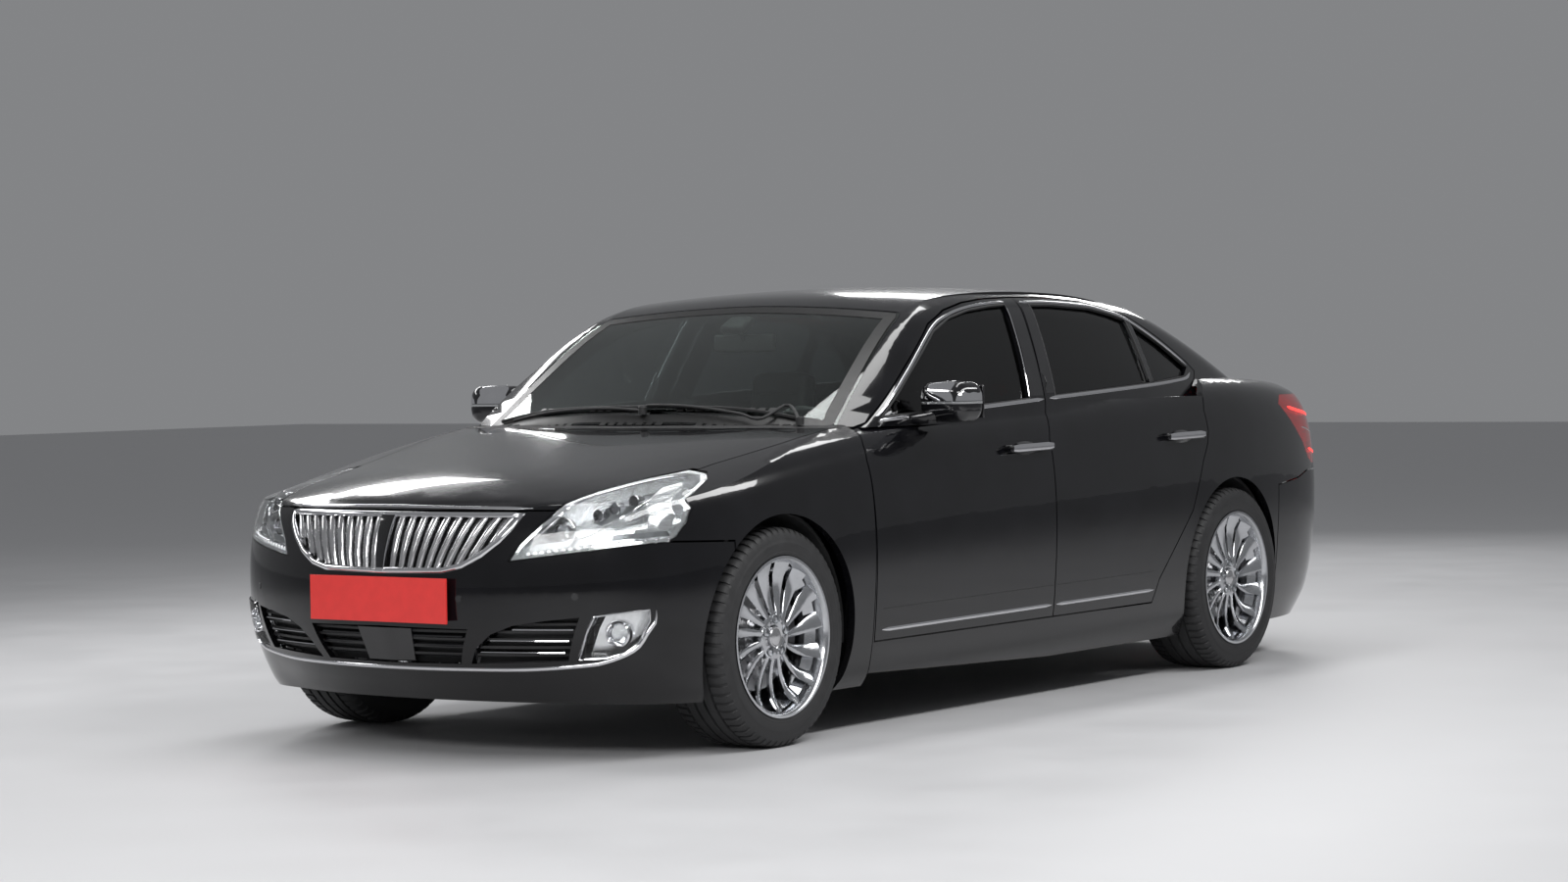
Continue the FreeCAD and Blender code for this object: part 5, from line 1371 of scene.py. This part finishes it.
BUMPER_SKIN = tree("rear_bumper")
lid_line = [(-0.46 + 0.92 * k / 12, 0.868 - 0.010 * abs(-1 + 2 * k / 12)) for k in range(13)]
piece("boot_chrome", strip(lid_line, from_rear, half_round(0.020, 0.006, 6, 0.002), 0.03, taper=2,
    on=LID_SKIN), CHROME, "boot_lid")
rear_line = [(-0.80 + 1.60 * k / 20, 0.330) for k in range(21)]
piece("rear_bumper_chrome", strip(rear_line, from_rear, half_round(0.014, 0.005, 6, 0.002), 0.03, taper=2,
    on=BUMPER_SKIN), CHROME)
marker = [(0.560, 0.405), (0.740, 0.415), (0.745, 0.440), (0.560, 0.430)]
for side, s in SIDES:
    ring = [(s * x, z) for x, z in marker]
    piece(f"rear_reflector_{side}", plate(ring, from_rear, 0.0035, -0.001, 0.02, BUMPER_SKIN), RED_LENS,
        sharp=30)
apron = [(-0.500, 0.235), (-0.470, 0.300), (0.470, 0.300), (0.500, 0.235)]
piece("rear_apron", plate(apron, from_rear, 0.003, -0.001, 0.03, BUMPER_SKIN), PLASTIC, sharp=30)


TIP_X, TIP_Z = 0.360, 0.235


def tip_ring(half_w, half_h, y):
    """Rounded oblong round the exhaust tip's centre line."""
    return [Vector((TIP_X + half_w * squarish(math.cos(t), 0.5), y,
        TIP_Z + half_h * squarish(math.sin(t), 0.5))) for t in circle(48)]


rows = [tip_ring(*ring) for ring in ((0.0625, 0.0325, 2.360), (0.0635, 0.0335, 2.500),
    (0.0620, 0.0320, 2.506), (0.0560, 0.0260, 2.506), (0.0470, 0.0180, 2.498), (0.0470, 0.0180, 2.442),
    (0.0610, 0.0310, 2.360))]
pair("exhaust_sleeve", grid(rows + [rows[0]]), CHROME, slot="exhaust_steel", sharp=40)
stop_lamp = block(-0.150, 0.150, -0.012, 0.012, -0.032, -0.010, 0.004, 2)
piece("high_stop_lamp", turned(stop_lamp, aimed(*from_top(0, 1.800, REAR_GLASS))), RED_LENS)


# Brake calipers beside the discs
def caliper(side_x, axle_y, mid, span, r0, r1, w):
    """Sector body that straddles the disc's edge."""
    sec = [(-w / 2, r0), (-w / 2, r1 - 0.008), (-w / 2 + 0.008, r1), (w / 2 - 0.008, r1),
        (w / 2, r1 - 0.008), (w / 2, r0), (0.010, r0), (0.010, r1 - 0.016), (-0.010, r1 - 0.016),
        (-0.010, r0)]
    rows = []
    for i in range(13):
        a = math.radians(mid - span / 2 + span * i / 12)
        rows.append([Vector((side_x + u, axle_y, TYRE_R)) + polar(r, a) for u, r in sec])
    return capped(rows)


CALIPERS = (("front", FRONT_AXLE_Y, 20, "knuckle_%s"), ("rear", REAR_AXLE_Y, 160, "body"))
for corner, axle, mid, body in CALIPERS:
    shape = caliper(DISC_AT[corner], axle, mid, 62, 0.122, 0.194, 0.074)
    pair(f"brake_caliper_{corner}", shape, CAST, body, sharp=40)


# Curved arms of the boot lid, ending at the opening's front edge, short of the pivot
LID_PIVOT = Vector((0.640, 1.500, 1.030))
NECK = ((0.318, -70), (0.352, -50), (0.358, -28), (0.355, -6), (0.350, 5))
neck = [LID_PIVOT + polar(r, math.radians(a)) for r, a in NECK]
lug = turned(block(-0.040, 0.012, -0.012, 0.110, -0.006, 0.004, 0.003, 2), placed(neck[-1]))
pair("boot_lid_arm", join(tube(spline(neck, 0.012), 0.009, 12), lug), CAST, "boot_lid", sharp=40)
